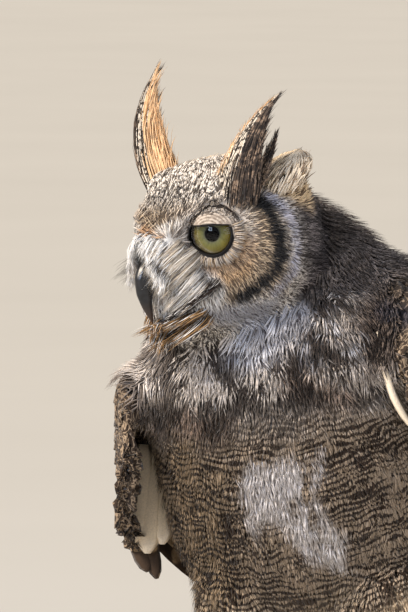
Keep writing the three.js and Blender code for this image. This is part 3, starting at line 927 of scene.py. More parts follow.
def marked(places, stray, region, roots):
    """The markings of each path, read a little astray, with whole dark feathers where they clump."""
    rows = places.shape[1]
    marks = markings((places + stray).reshape(-1, 3), np.repeat(region, rows))
    return clumped(marks.reshape(len(places), rows, -1), roots[:, None])


def laid(skin, points, ways, lengths, steps):
    """Paths over the skin from each point: their places and the skin's normals along them. A path
    that comes to an edge of the skin bends round it no faster than a feather would."""
    places, normals = [], []
    for step in range(steps + 1):
        if step:
            points = points + ways * (lengths / steps)[:, None]
        found, normal, _ = skin.nearest(points)
        if step:
            gap = np.maximum(np.linalg.norm(points - found, axis=1), 1e-9)
            share = np.minimum(1, 0.35 * lengths / steps / gap)[:, None]
            found = points + share * (found - points)
            normal = unit(normals[-1] + share * (normal - normals[-1]))
        points = found
        ways = unit(ways - (ways * normal).sum(1, keepdims=True) * normal)
        places.append(points)
        normals.append(normal)
    return np.stack(places, 1), np.stack(normals, 1)


def tube_faces(rows, around, pointed):
    """The triangles of one closed tube of rings, which may end in a point."""
    faces = [(0, i + 1, i) for i in range(1, around - 1)]
    end = (rows - 1) * around
    for row in range(rows - 1):
        for i in range(around):
            a, b = row * around + i, row * around + (i + 1) % around
            if pointed and row == rows - 2:
                faces.append((a, b, end))
            else:
                faces += [(a, b, b + around), (a, b + around, a + around)]
    if not pointed:
        faces += [(end, end + i, end + i + 1) for i in range(1, around - 1)]
    return np.array(faces)


def lot(corners, faces, picks, marks, bar, shade, uv, smooth):
    """Many closed bodies of one build, with the markings of each of their corners."""
    count, per = corners.shape[:2]
    rows = marks.shape[1]
    along = np.stack([np.zeros(rows), np.linspace(-0.45, 0.45, rows)], 1)[picks]
    around = 0.4 * np.stack([np.cos(np.arange(per) * 2.1), 0 * np.arange(per)], 1)
    spread = uv[:, None, :] + BAKE_PATCH * (along + around)
    return {"corners": corners.reshape(-1, 3), "faces": faces, "count": count, "smooth": smooth,
            "marks": marks[:, picks].reshape(-1, marks.shape[2]), "bar": bar[:, picks].ravel(),
            "shade": shade.reshape(-1) if shade.shape[1] == per else shade[:, picks].ravel(),
            "uv": spread.reshape(-1, 2)}


LOCK_SHAPE = ([0, 1 / 3, 2 / 3, 1], [0.7, 1.0, 0.8, 0.1])  # the width of a lock along its length


def locks_along(places, normals, widths, thick, marks, bar, shade, uv, smooth):
    """Closed three-sided locks along paths, tapering to a point. Thick is a share of the width."""
    rows = places.shape[1]
    run = unit(np.gradient(places, axis=1))
    out = unit(normals - (normals * run).sum(2, keepdims=True) * run)
    across = np.cross(out, run)
    wide = (widths[:, None] * np.interp(np.linspace(0, 1, rows)[:-1], *LOCK_SHAPE))[:, :, None]
    rings = np.stack([places[:, :-1] + way[:, :-1] * wide * share
                      for way, share in ((across, -0.5), (across, 0.5), (out, thick))], 2)
    corners = np.concatenate([rings.reshape(len(places), -1, 3), places[:, -1:]], 1)
    picks = np.append(np.repeat(np.arange(rows - 1), 3), rows - 1)
    return lot(corners, tube_faces(rows, 3, True), picks, marks, bar, shade, uv, smooth)


def fans(skin, mask, spacing, length, width, locks, lock_width, lift, splay, thick, jitter, seed,
         smooth):
    """Soft feathers over the masked skin, each a fan of locks that rises to the coat's depth.
    Sizes are in millimetres; length and lift may be functions of the root's place."""
    rng = np.random.default_rng(seed)
    roots, normals, uv, region, ways = rooted(skin, mask, spacing, rng)
    count = len(roots)
    size = rng.uniform(0.85, 1.15, count)
    long, high = ((value(roots) if callable(value) else np.full(count, float(value))) * MM
                  for value in (length, lift))
    long = long * size
    k = np.tile(np.linspace(-1, 1, locks), count) + rng.normal(0, 0.06, count * locks)
    own = np.repeat(np.arange(count), locks)
    across = np.cross(normals, ways)
    angle = np.radians(splay * k)[:, None]
    start = roots[own] + across[own] * (k * width * 0.25 * MM * size[own])[:, None]
    start += ways[own] * (0.10 * long[own] * (1 - k ** 2))[:, None]
    heading = ways[own] * np.cos(angle) + across[own] * np.sin(angle)
    reach = long[own] * (0.9 - 0.22 * k ** 2) * rng.uniform(0.88, 1.08, len(k))
    places, lifts = laid(skin, start, heading, reach, 3)
    t = np.linspace(0, 1, places.shape[1])
    rise = high[own] * (1 - 0.25 * k ** 2) * rng.uniform(0.8, 1.1, len(k))
    places = places + lifts * (rise[:, None] * t ** 1.15 + 0.05 * MM)[:, :, None]
    bend = rng.normal(0, 0.05, len(k))[:, None] * long[own][:, None] * t ** 2
    places = places + across[own][:, None, :] * bend[:, :, None]
    widths = lock_width * MM * rng.uniform(0.8, 1.2, len(k))

    marks = marked(places, rng.normal(0, jitter * MM, (count, 1, 3))[own], region[own], roots[own])
    edge = np.abs(k)[:, None] * 0.8 + np.array([0, 0, 0.1, 0.9]) + rng.normal(0, 0.1, (len(k), 1))
    marks = darkened(marks, share_of(marks, "hearts") * (1 - np.clip(edge, 0, 1)))
    tick = rng.random(len(k))[:, None] < share_of(marks, "ticks")
    marks = darkened(marks, tick * TICK)
    bar = bar_places(places) + rng.normal(0, 0.13, count)[own][:, None]
    shade = rng.uniform(0.86, 1.12, count)[own] * rng.uniform(0.88, 1.12, len(k))
    # Each lock darkens towards its root: partly the greyer down at a feather's base, partly painted shade
    # where the feathers above overlap it.
    shade = shade[:, None] * (0.78 + 0.28 * t)
    return locks_along(places, lifts, widths, thick, marks, bar, shade, uv[own], smooth)


# The corners round a vane: how far across it each is, and 1 for those of its upper face.
VANE_AROUND = np.array([(-1, 0), (-0.5, 0), (0, 0), (0.5, 0), (1, 0), (0.5, 1), (0, 1), (-0.5, 1)])
VANE_ENDS = ([0, 0.25, 0.5, 0.75, 0.92, 1], [0.5, 0.85, 1, 0.95, 0.65, 0.22])  # half width along a vane


def vane_rings(places, normals, widths, thick, droop):
    """Rings round thin closed vanes along paths, crowned across, with a rounded end."""
    rows = places.shape[1]
    run = unit(np.gradient(places, axis=1))
    across = unit(np.cross(normals, run))
    out = np.cross(run, across)
    half = widths[:, None] / 2 * np.interp(np.linspace(0, 1, rows), *VANE_ENDS)
    q, top = VANE_AROUND.T
    height = top * (1 - q ** 2) * thick - q ** 2 * droop
    return (places[:, :, None] + across[:, :, None] * (half[:, :, None] * q)[..., None]
            + out[:, :, None] * (height * np.ones_like(half)[:, :, None])[..., None])


def vanes_along(rings, marks, bar, shade, uv):
    """Closed vanes from their rings, paler at their edges and with a darker shaft."""
    count, rows = rings.shape[:2]
    picks = np.repeat(np.arange(rows), len(VANE_AROUND))
    q = np.abs(VANE_AROUND[:, 0])
    rim = 1 + 0.12 * q ** 3 - 0.1 * (q < 0.1)
    return lot(rings.reshape(count, -1, 3), tube_faces(rows, len(q), False), picks, marks, bar,
               (shade[:, :, None] * rim).reshape(count, -1), uv, True)


def contour(skin, mask, spacing, length, width, lift, jitter, seed, thick):
    """Firm feathers over the masked skin: single closed vanes with rounded ends."""
    rng = np.random.default_rng(seed)
    roots, _, uv, region, ways = rooted(skin, mask, spacing, rng)
    count = len(roots)
    size = rng.uniform(0.85, 1.15, count)
    long = length * MM * size
    places, lifts = laid(skin, roots, ways, long, 5)
    t = np.linspace(0, 1, places.shape[1])
    rise = lift * MM * rng.uniform(0.8, 1.15, (count, 1)) * t ** 1.1
    places = places + lifts * rise[:, :, None]
    marks = marked(places, rng.normal(0, jitter * MM, (count, 1, 3)), region, roots)
    heart = share_of(marks, "hearts") * (1 - ramp(t, 0.75, 1)) * rng.uniform(0.6, 1, (count, 1))
    marks = darkened(marks, heart)
    bar = bar_places(roots)[:, None] - long[:, None] * t / BAR_PITCH + rng.normal(0, 0.15, (count, 1))
    # Random tone, darker towards the root: partly greyer down, partly painted shade under the overlapping
    # feathers.
    shade = rng.uniform(0.85, 1.12, (count, 1)) * (0.8 + 0.25 * t)
    rings = vane_rings(places, lifts, width * MM * size, thick * MM, 0.08 * width * MM)
    return vanes_along(rings, marks, bar, shade, uv)


def coat_piece(name, parts, nodes=()):
    """One piece of the coat from several lots of feathers."""
    faces, smooth, start = [], [], 0
    for part in parts:
        per = len(part["corners"]) // part["count"]
        firsts = start + per * np.arange(part["count"])
        faces.append((part["faces"][None] + firsts[:, None, None]).reshape(-1, 3))
        smooth.append(np.full(len(faces[-1]), part["smooth"]))
        start += len(part["corners"])
    faces = np.concatenate(faces)
    corners, uv, marks, bar, shade = (np.concatenate([p[key] for p in parts])
                                      for key in ("corners", "uv", "marks", "bar", "shade"))
    mesh = bpy.data.meshes.new(name)
    mesh.vertices.add(len(corners))
    mesh.vertices.foreach_set("co", corners.ravel())
    mesh.loops.add(faces.size)
    mesh.loops.foreach_set("vertex_index", faces.ravel().astype(np.int32))
    mesh.polygons.add(len(faces))
    mesh.polygons.foreach_set("loop_start", np.arange(0, faces.size, 3, dtype=np.int32))
    mesh.update(calc_edges=True)
    mesh.polygons.foreach_set("use_smooth", np.concatenate(smooth))
    bake_places = uv[faces.ravel()].astype(np.float32)
    mesh.uv_layers.new(name="OFBake").data.foreach_set("uv", bake_places.ravel())
    store_markings(mesh, marks, bar, shade)
    new_piece(name, mesh, PLUMAGE, nodes)


def free_locks(skin, places, normals, widths, finish, rng, thick=0.4):
    """Locks on paths of their own, each finish by name, rooted where they start on the skin."""
    count, rows = places.shape[:2]
    marks = np.repeat(np.array([finish_values(name) for name in finish])[:, None], rows, 1)
    marks = darkened(marks, (rng.random(count) < share_of(marks[:, 0], "ticks"))[:, None] * TICK)
    # Random tone, darker towards the root: partly greyer down, partly painted shade where the locks
    # overlap.
    shade = rng.uniform(0.85, 1.15, (count, 1)) * (0.85 + 0.2 * np.linspace(0, 1, rows))
    bar = places[:, :, 2] / BAR_PITCH
    uv = skin.nearest(places[:, 0])[2]
    return locks_along(places, normals, widths, thick, marks, bar, shade, uv, True)


# ---- ear tufts and bristles

# The core of each tuft, then half its width and depth at the root, how it tapers, its locks, and
# how far round from its inner side the buff reaches. A puff of feathers stands behind each tuft.
TUFTS = {
    "left": ([(31, -16, 28), (40, -8, 57), (48, 9, 77)], (17, 11), 1.25, 2900, -0.5),
    "right": ([(-33, -17, 30), (-47, -10, 62), (-46, 1, 91)], (13.5, 10), 1.7, 2600, -0.25),
    "left_prong": ([(40, -8, 32), (43, 0, 44), (45, 9, 57)], (7, 5), 1.1, 480, -1.5),
    "left_puff": ([(33, 11, 24), (38, 18, 35), (42, 25, 42)], (19, 15), 3.0, 1500, None),
    "right_puff": ([(-33, 12, 18), (-37, 19, 26), (-40, 25, 31)], (16, 12), 3.0, 700, None),
}


def ear_tuft(skin, word, seed):
    """An ear tuft: short lapping locks up a curved core, buff inside and dark and cream outside."""
    rng = np.random.default_rng(seed)
    rows = 5
    core, breadth, taper, count, buff = TUFTS[word]
    root, half, tip = np.array(core) * MM
    side = 1 if word.startswith("left") else -1
    turn, out = rng.uniform(0, 2 * math.pi, count), np.sqrt(rng.uniform(0.1, 1, count))
    a, b = out * np.cos(turn), out * np.sin(turn)
    begin = -0.12 + 0.92 * rng.uniform(0, 1, count) ** 1.2
    s = begin[:, None] + rng.uniform(0.18, 0.34, (count, 1)) * np.linspace(0, 1, rows)
    line = (root * ((1 - s) * (1 - 2 * s))[..., None] + half * (4 * s * (1 - s))[..., None]
            + tip * (s * (2 * s - 1))[..., None])
    room = np.clip(1.02 - np.maximum(s, 0) ** taper, 0.05, 1)[..., None] * MM
    places = line + room * np.stack([a * breadth[0], b * breadth[1], 0 * a], 1)[:, None]
    loose = np.where(rng.random(count) < 0.15, rng.uniform(1.5, 5, count), rng.uniform(0, 1, count)) * MM
    ends = (loose[:, None] * np.linspace(0, 1, rows) ** 2)[..., None]
    places = places + ends * np.stack([a - 0.4 * side, b + 0.5, 0 * a], 1)[:, None]
    normals = np.repeat(unit(np.stack([a, b, 0.05 + 0 * a], 1))[:, None], rows, 1)
    outer = a * side + rng.normal(0, 0.15, count)
    front = -b + rng.normal(0, 0.15, count)
    if buff is None:
        finish = np.full(count, "puff")
    else:
        finish = np.where((front > 0.2) & (outer < max(0.25, buff + 0.4)), "tuft_edge", "tuft_dark")
        finish = np.where(outer < buff, "tuft_buff", finish)
    widths = rng.uniform(0.8, 1.45, count) * MM * (1.1 - 0.5 * np.maximum(begin, 0))
    return free_locks(skin, from_head(places), normals @ HEAD_TURN.T, widths, finish, rng, 0.25)


# Bristles of the face, on the left in the head's frame in millimetres: where they start and end
# (each between two places), how they bulge, how many, how wide, and their finishes.
BRISTLES = [
    ((16, -52, 7), (24, -45, -8), (2, -72, -10), (4, -66, -30), (3, -2, 2), 520, 0.32,
     ("bristle", "bristle", "bristle", "whisker")),
    ((9, -61, 5), (16, -53, -4), (2, -71, -6), (4, -67, -24), (3, -3, 1), 300, 0.34,
     ("bristle", "whisker")),
    ((24, -45, -10), (26, -43, -24), (5, -65, -32), (9, -57, -37), (3, -3, 0), 400, 0.34,
     ("whisker", "chin", "bristle")),
    ((3, -62, 11), (12, -58, 7), (2, -73, 3), (9, -71, -8), (1, -1, 2), 300, 0.42, ("whisker",)),
    ((5, -61, 6), (12, -57, -12), (8, -72, -4), (14, -70, -22), (1, -3, 1), 260, 0.45, ("whisker",)),
    ((6, -60, 2), (12, -56, -12), (14, -79, -4), (20, -74, -18), (1, -2, 1), 40, 0.22, ("gape",)),
    ((31, -39, -19), (11, -53, -32), (19, -52, -29), (-2, -61, -42), (4, -4, 0), 400, 0.4,
     ("gape", "gape", "gape", "gape", "chin")),
    ((20, -46, -30), (2, -54, -40), (8, -59, -38), (-6, -66, -43), (2, -3, 1), 110, 0.42,
     ("gape", "gape", "gape", "chin")),
    ((24, -44, -36), (2, -51, -40), (12, -64, -43), (-12, -76, -45), (1, -1, 1), 460, 0.6,
     ("beard", "beard", "beard", "gape", "chin")),
    ((24, -42, -40), (2, -49, -45), (14, -62, -52), (-9, -72, -56), (1, -1, 0), 560, 0.6,
     ("beard", "beard", "beard", "gape", "gape", "chin")),
]
CLEAR_OF_BILL = 0.5 * MM


def bristles(skin, bill_tree, seed):
    """Fine bristles beside the bill: some sweep over its sides, and white ones stand ahead of it."""
    rng = np.random.default_rng(seed)
    lots = []
    for side in (1, -1):
        for start0, start1, end0, end1, bulge, count, width, finishes in BRISTLES:
            u = rng.uniform(0, 1, (count, 1))
            start = np.array(start0) * (1 - u) + np.array(start1) * u + rng.normal(0, 1.2, (count, 3))
            end = np.array(end0) * (1 - u) + np.array(end1) * u + rng.normal(0, 1.2, (count, 3))
            end = start + (end - start) * rng.uniform(0.55, 1.05, (count, 1))
            t = np.linspace(0, 1, 6)[:, None]
            places = start[:, None] * (1 - t) + end[:, None] * t + np.array(bulge) * (4 * t * (1 - t))
            places = from_head((places * [side, 1, 1] * MM).reshape(-1, 3))
            near_bill, normal, _ = nearest_on(bill_tree, places)
            inside = ((places - near_bill) * normal).sum(1, keepdims=True) < CLEAR_OF_BILL
            places = np.where(inside, near_bill + normal * CLEAR_OF_BILL, places)
            places = places.reshape(count, 6, 3)
            places[:, 0] = skin.nearest(places[:, 0])[0]
            normal = normal.reshape(count, 6, 3) + rng.normal(0, 0.6, (count, 1, 3))
            widths = rng.uniform(0.75, 1.3, count) * width * MM
            lots.append(free_locks(skin, places, normal, widths, rng.choice(finishes, count), rng))
    return lots


def eye_rings(skin, seed):
    """Short locks that fan out round each eye from the dark edge of its lids."""
    rng = np.random.default_rng(seed)
    lots, count = [], 420
    for side in (1, -1):
        turn = rng.uniform(math.radians(-205), math.radians(25), count)
        tilt = np.arcsin(lid_edge(turn, 1) / EYE_RADIUS) + rng.uniform(1.6, 3.4, count) * MM / EYE_RADIUS
        out = np.stack([np.cos(turn), np.sin(turn), 0 * turn], 1)
        start = out * np.sin(tilt)[:, None] + [0, 0, 1] * np.cos(tilt)[:, None]
        start *= EYE_RADIUS + 0.9 * MM
        t = np.linspace(0, 1, 5)[:, None]
        length = rng.uniform(4.0, 7.0, (count, 1, 1)) * MM
        bow = [0, 0, 1] * (0.9 * t * (1 - t) - 0.42 * t)
        local = start[:, None] + length * (out[:, None] * t + bow)
        turned = gaze(side) * np.array([[side], [1], [1]])
        places = eye_middle(side) + local @ turned
        normals = np.broadcast_to(turned[2] * 1.0, places.shape)
        widths = rng.uniform(0.35, 0.6, count) * MM
        finish = rng.choice(["disc_inner", "disc_inner", "disc"], count)
        lots.append(free_locks(skin, places, normals, widths, finish, rng))
    return lots


def crease_shade_locks(skin, seed):
    """Short dark locks along the crease over each eye: painted shade where the brow overhangs the crease.
    """
    rng = np.random.default_rng(seed)
    lots, count = [], 80
    for side in (1, -1):
        t = rng.uniform(0, 0.8, count)[:, None] + np.linspace(0, 0.22, 5)
        line = np.stack([eased([p[i] for p in CREASE], t) for i in range(3)], -1) * MM
        line = line + rng.normal(0, 0.22, (count, 1, 3)) * MM
        places, normals, _ = skin.nearest(from_head((line * [side, 1, 1]).reshape(-1, 3)))
        rise = rng.uniform(0.7, 1.7, (count, 1)) * np.array([0.3, 0.9, 1.0, 0.9, 0.8]) * MM
        places = (places + normals * rise.reshape(-1, 1)).reshape(count, 5, 3)
        widths = rng.uniform(0.25, 0.45, count) * MM
        normals = normals.reshape(count, 5, 3)
        lots.append(free_locks(skin, places, normals, widths, ["gape"] * count, rng))
    return lots


# ---- flight feathers

# The folded wings lie on a shell round the trunk, in the upright trunk's frame in millimetres:
# v runs from the neck to the tail's end, and angles go round from the breast.
SHELL = {
    "spine": [(-24, 318), (-14, 280), (0, 236), (14, 192), (34, 148), (70, 106), (110, 66), (148, 32)],
    "width": [52, 84, 98, 107, 107, 84, 54, 34],
    "front": [46, 68, 77, 79, 77, 62, 36, 20],
    "back": [46, 71, 81, 82, 70, 45, 24, 14],
}
# Each row's roots and tips are given as v and angle, for its first feather and its last.
SECONDARIES = {"count": 10, "half": 13, "lift": 3.6, "step": 0.22,
               "root": [(0.30, 97), (0.30, 176)], "tip": [(0.77, 111), (0.73, 174)]}
PRIMARIES = {"count": 8, "half": 8.5, "lift": -5, "step": 0.3,
             "root": [(0.50, 98), (0.50, 122)], "tip": [(0.84, 130), (0.98, 160)]}
TAIL = {"root": (0, 66, 122), "dip": 46, "length": 137, "half": 12.5, "pairs": 6, "spread": 2.6}
QUILL_ROWS = 16
QUILL_CROWN = 0.8  # mm
QUILL_TAPER = ([0, 0.2, 0.75, 0.93, 1], [0.7, 0.95, 1, 0.75, 0.25])
VANE_TURNED = [4, 3, 2, 1, 0, 7, 6, 5]  # the same ring gone round the other way


def on_shell(side, v, angle, off):
    """Places on the shell, each at a height v and an angle round it, standing off so many mm."""
    y, z = (eased([p[i] for p in SHELL["spine"]], v) for i in (0, 1))
    back, down = (eased([p[i] for p in SHELL["spine"]], v + 0.01) - now for i, now in ((0, y), (1, z)))
    run = np.hypot(back, down)
    turn = np.radians(angle)
    depth = np.where(angle < 90, eased(SHELL["front"], v), eased(SHELL["back"], v)) + off
    ahead = np.cos(turn) * depth
    x = np.sin(turn) * (eased(SHELL["width"], v) + off) * side
    return from_body(np.stack([x, y + ahead * down / run, z - ahead * back / run], -1) * MM)


def wing_quills(skin, side, sizes, seed):
    """A row of long feathers on the shell, each lapping over the next."""
    rng = np.random.default_rng(seed)
    rows, lots = np.linspace(0, 1, QUILL_ROWS)[:, None], []
    q, top = VANE_AROUND.T
    for i in range(sizes["count"]):
        k = i / (sizes["count"] - 1)
        (v0, a0), (v1, a1) = (np.array(first) + k * np.subtract(last, first)
                              for first, last in (sizes["root"], sizes["tip"]))
        v = v0 + (v1 - v0) * rows
        across = q * sizes["half"] * np.interp(rows, *QUILL_TAPER)
        angle = a0 + (a1 - a0) * rows ** 1.3 + np.degrees(across / (eased(SHELL["width"], v) + 5))
        off = sizes["lift"] + sizes["step"] * i + 0.7 * q + top * (1 - q ** 2) * QUILL_CROWN
        rings = on_shell(side, v + 0 * angle, angle, off)
        lots.append(quill(skin, rings if side > 0 else rings[:, VANE_TURNED], rng))
    return lots


def quill(skin, rings, rng):
    """One flight feather from its rings: barred along its length, with an uneven phase."""
    middle_line = rings[:, 2]
    run = np.append(0, np.cumsum(np.linalg.norm(np.diff(middle_line, axis=0), axis=1)))
    marks = np.tile(finish_values("quill"), (1, len(rings), 1))
    bar = (run / QUILL_BAR_PITCH + rng.uniform(0, 0.4))[None]
    shade = np.full((1, len(rings)), rng.uniform(0.85, 1.1))
    return vanes_along(rings[None], marks, bar, shade, skin.nearest(middle_line[:1])[2])


def tail_quills(skin, seed):
    """The tail's feathers in pairs: the middle pair lies on top, and the others spread under it."""
    rng = np.random.default_rng(seed)
    rows, lots = np.linspace(0, 1, QUILL_ROWS)[:, None], []
    q, top = VANE_AROUND.T
    laid_back = rotation("X", 90 - TAIL["dip"])
    for pair in range(TAIL["pairs"]):
        for side in (1, -1):
            rank = pair * 0.42
            x = side * (2 + 3 * rank) + q * TAIL["half"] * np.interp(rows, *QUILL_TAPER)
            y = -1.1 * rank + top * (1 - q ** 2) * QUILL_CROWN + 0.35 * side * q + 0.2 * side + 0 * x
            z = -(TAIL["length"] - 3 * rank) * rows + 0 * x
            flat = np.stack([x, y, z], -1) @ rotation("Y", -side * TAIL["spread"] * (pair + 0.4)).T
            lots.append(quill(skin, from_body((flat @ laid_back.T + TAIL["root"]) * MM), rng))
    return lots


# Long smooth feathers of the folded wings that show ahead of them: each is a line in the upright
# trunk's frame in millimetres, with its width, its finish and the wing that carries it.
PANELS = [
    ([(-97, 14, 214), (-104, 11, 184), (-112, 8, 157)], 17, "lining", "right"),
    ([(-95, 16, 212), (-99, 13, 182), (-104, 11, 150)], 18, "lining", "right"),
    ([(-93, 18, 210), (-92, 16, 180), (-95, 14, 154)], 15, "lining", "right"),
    ([(-106, 16, 176), (-110, 15, 158), (-106, 14, 139)], 11, "quill", "right"),
    ([(-100, 18, 176), (-103, 17, 156), (-102, 16, 134)], 10, "quill", "right"),
    ([(68, -43, 264), (70, -49, 246), (73, -47, 228)], 4.5, "lining", "left"),
    ([(70, -47.5, 246), (73, -47, 226), (79, -40, 206)], 5, "lining", "left"),
]
PANEL_FACES = unit(np.array([0.3, -0.95, 0.1]))  # out of the wing, in the trunk's frame


def panels(skin, word):
    lots, rows = [], np.linspace(0, 1, 9)
    for line, width, finish, own in PANELS:
        if own == word:
            path = from_body(np.stack([eased(places, rows) for places in zip(*line)], -1) * MM)
            facing = np.tile(PANEL_FACES @ LEAN.T, (1, len(rows), 1))
            rings = vane_rings(path[None], facing, np.array([width * MM]), 0.8 * MM, 0.9 * MM)
            marks = np.tile(finish_values(finish), (1, len(rows), 1))
            lots.append(vanes_along(rings, marks, rows[None] * 1.3, np.ones((1, len(rows))),
                                    skin.nearest(path[:1])[2]))
    return lots


# ---- the whole coat

def clothe(skin, bill_tree):
    """The whole coat, region by region."""
    head, body = to_head(skin.centre), to_body(skin.centre)
    head_skin, neck, trunk, wing, thigh, foot = (skin.region == i for i in range(len(REGIONS)))
    past, up, _ = past_lid_edge(skin.centre)
    own_eye = np.where(head[:, :1] > 0, eye_middle(1), eye_middle(-1))
    lid_faces_out = (skin.facing * unit(skin.centre - own_eye)).sum(1) > 0.3
    lid_coat = skin.on_lid & lid_faces_out & (past > (1.6 + 5.0 * ramp(up, 0.1, 0.5)) * MM)
    from_eye = np.linalg.norm(mirrored(head) - EYE_AT, axis=1)
    open_skin = ~skin.on_lid & (from_eye > FEATHERS_START)
    front = head_skin & (head[:, 1] < -0.004) & (head[:, 2] < 0.030)
    face = (front & open_skin) | lid_coat
    crown = head_skin & ~front & open_skin
    facing_in = -(skin.facing @ LEAN * unit(body * [1, 0.6, 0])).sum(1) > 0.65
    inner = facing_in & (np.abs(body[:, 0]) < WING_EDGE)
    back = trunk & (body[:, 1] > 0.02)
    breast = trunk & ~back & (body[:, 2] > 0.2)
    belly = trunk & ~back & ~breast

    def face_length(points):
        away = np.linalg.norm(mirrored(to_head(points)) - EYE_AT, axis=1)
        return 5.2 + 8 * ramp(away, 0.016, 0.034)

    def face_lift(points):
        return 0.24 * face_length(points)

    def crown_length(points):
        return 8 + 8 * near(mirrored(to_head(points)), BUFF_PATCH, 6, 8)

    def crown_lift(points):
        return 0.42 * crown_length(points)

    # Fans: spacing, length, width, locks, lock width, lift, splay, thickness, stray, seed, smooth.
    # Contour feathers: spacing, length, width, lift, stray, seed, thickness.
    pieces = {}
    for name, slot, build, mask, *sizes in (
        ("face", "crown", fans, face, 1.9, face_length, 2.2, 3, 0.75, face_lift, 20, 0.4, 0.5, 11, True),
        ("crown", "crown", fans, crown, 2.8, crown_length, 4, 7, 0.85, crown_lift, 24, 0.3, 0.8, 21, False),
        ("neck", "mantle", fans, neck, 4.6, 20, 10, 12, 1.3, 8.5, 24, 0.16, 2.5, 32, True),
        ("breast", "breast", fans, breast, 5.0, 20, 12, 15, 1.4, 8.5, 30, 0.16, 2.5, 41, True),
        ("belly", "breast", fans, belly, 5.2, 23, 14, 14, 1.7, 8.5, 26, 0.1, 0.8, 51, True),
        ("back", "mantle", contour, back, 6.5, 30, 15, 8, 1.5, 61, 0.5),
        ("wings", "mantle", contour, wing & ~inner, 5.5, 22, 12, 3.2, 1.0, 71, 0.5),
        ("wings", "mantle", contour, wing & inner, 6, 12, 11, 0.8, 1.0, 72, 0.3),
        ("thighs", "leggings", fans, thigh, 5.2, 20, 8, 8, 1.5, 6.5, 20, 0.22, 1.0, 81, False),
        ("feet", "leggings", fans, foot, 3.0, 8, 2.5, 4, 1.0, 2.2, 18, 0.3, 0.5, 91, False),
    ):
        pieces.setdefault((name, slot), []).append(build(skin, mask, *sizes))
    for (name, slot), lots in pieces.items():
        coat_piece("coat_" + name, lots)

    for word, seed in (("left", 101), ("right", 102)):
        tuft = [ear_tuft(skin, name, seed) for name in TUFTS if name.startswith(word)]
        coat_piece("tuft_" + word, tuft, ["ear_tuft_" + word])
    coat_piece("bristles", bristles(skin, bill_tree, 111))
    # The dark locks along each crease are painted shade under the brow; the rings round the eyes are
    # feathers.
    coat_piece("crease_shade_and_eye_rings", crease_shade_locks(skin, 112) + eye_rings(skin, 113))
    for side, word in ((1, "left"), (-1, "right")):
        secondaries = wing_quills(skin, side, SECONDARIES, 121) + panels(skin, word)
        primaries = wing_quills(skin, side, PRIMARIES, 131)
        coat_piece("secondaries_" + word, secondaries, ["wing_secondaries_" + word])
        coat_piece("primaries_" + word, primaries, ["wing_primaries_" + word])
    coat_piece("tail_feathers", tail_quills(skin, 141), ["tail"])


# ---- bill and claws

def horn_piece(name, nodes, voxel):
    bm = remeshed(copy_of(nodes), voxel * MM)
    smoothed(bm, 6)
    mesh = mesh_of(name, bm)
    mesh.shade_smooth()
    return new_piece(name, mesh, HORN, nodes)


def slim_bill(mesh):
    """Draws the bill in at its sides and down to a finer hook."""
    points = to_head(positions(mesh))
    low = ramp(-points[:, 2], 0.006, 0.036)
    points[:, 0] *= 0.75 + 0.05 * low
    points[:, 2] -= 5.8 * MM * low
    points[:, 1] -= 1.9 * MM * ramp(-points[:, 2], 0.0, 0.012)
    mesh.vertices.foreach_set("co", from_head(points).ravel())
    mesh.update()
    return BVHTree.FromPolygons(positions(mesh).tolist(), [tuple(p.vertices) for p in mesh.polygons])


# ---- studio

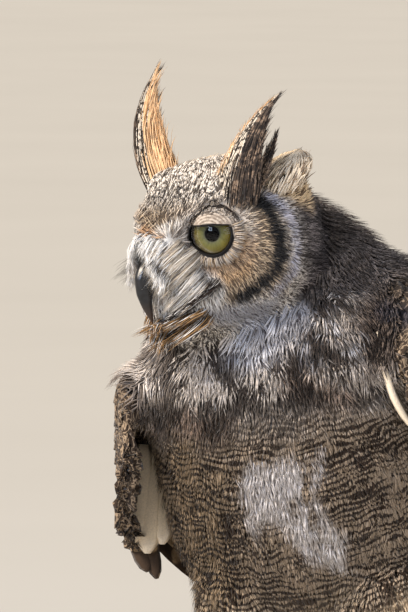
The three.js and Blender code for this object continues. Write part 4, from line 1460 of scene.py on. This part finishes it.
def place_camera():
    azimuth, elevation = math.radians(VIEW_AZIMUTH), math.radians(VIEW_ELEVATION)
    back = np.array([math.sin(azimuth) * math.cos(elevation), -math.cos(azimuth) * math.cos(elevation),
                     math.sin(elevation)])
    right = np.array([math.cos(azimuth), math.sin(azimuth), 0])
    up = np.cross(back, right)
    target = middle("eye_left") + right * (PICTURE[0] / 2 - EYE_PIXEL[0]) / PIXELS_PER_METRE
    target = target + up * (EYE_PIXEL[1] - PICTURE[1] / 2) / PIXELS_PER_METRE
    data = bpy.data.cameras.new("camera")
    data.sensor_fit = "HORIZONTAL"
    data.lens = data.sensor_width * VIEW_DISTANCE * PIXELS_PER_METRE / PICTURE[0]
    data.clip_end = 30
    camera = placed("camera", data)
    camera.matrix_world = Matrix((*zip(right, up, back, target + back * VIEW_DISTANCE), (0, 0, 0, 1)))
    bpy.context.scene.camera = camera


def soft_light(name, kind, place, power, code, **shape):
    """A lamp that shines from a place on the middle of the bird."""
    data = bpy.data.lights.new(name, kind)
    data.energy = power
    data.color = linear(code)
    for key, value in shape.items():
        setattr(data, key, value)
    lamp = placed(name, data)
    lamp.location = place
    lamp.rotation_euler = (Vector(place) - Vector(LIT_AT)).to_track_quat("Z", "Y").to_euler()
    lamp.visible_camera = False


def studio():
    """A wide pale floor, a broad warm key light from the upper left, and cool soft fills."""
    bm = bmesh.new()
    bmesh.ops.create_circle(bm, cap_ends=True, segments=96, radius=FLOOR_RADIUS)
    mesh = mesh_of("floor", bm)
    mesh.materials.append(plaster())
    floor = placed("floor", mesh)
    soft_light("key", "SUN", (-1.5, -1.6, 1.9), 4.2, "#fff0dc", angle=math.radians(17))
    soft_light("fill", "AREA", (2.2, -1.6, 0.9), 14, "#dfe8ff", shape="DISK", size=1.6)
    soft_light("front", "AREA", (-0.57, -1.70, 0.94), 13, "#cfe0ff", shape="DISK", size=0.6)
    world = bpy.data.worlds.new("studio")
    world.use_nodes = True
    sky = world.node_tree.nodes["Background"].inputs
    sky["Color"].default_value = colour("#e3e5e8")
    sky["Strength"].default_value = 0.52
    bpy.context.scene.world = world
    bpy.context.scene.view_settings.view_transform = "Standard"


# ---- the bird

PLUMAGE = plumage("plumage_matt_keratin")
HORN = horn()
IRIS = iris()
CORNEA = cornea()
FLESH_TREE = flesh_tree()

bill_tree = slim_bill(horn_piece("bill", nodes_named("bill"), 0.7).data)
clothe(Skin(*whole_skin()), bill_tree)
for eye_side, eye_word in ((1, "left"), (-1, "right")):
    eyeball(eye_side, eye_word)
    cornea_cap(eye_side, eye_word)
horn_piece("claws", nodes_named("claw"), 0.6)
place_camera()
studio()
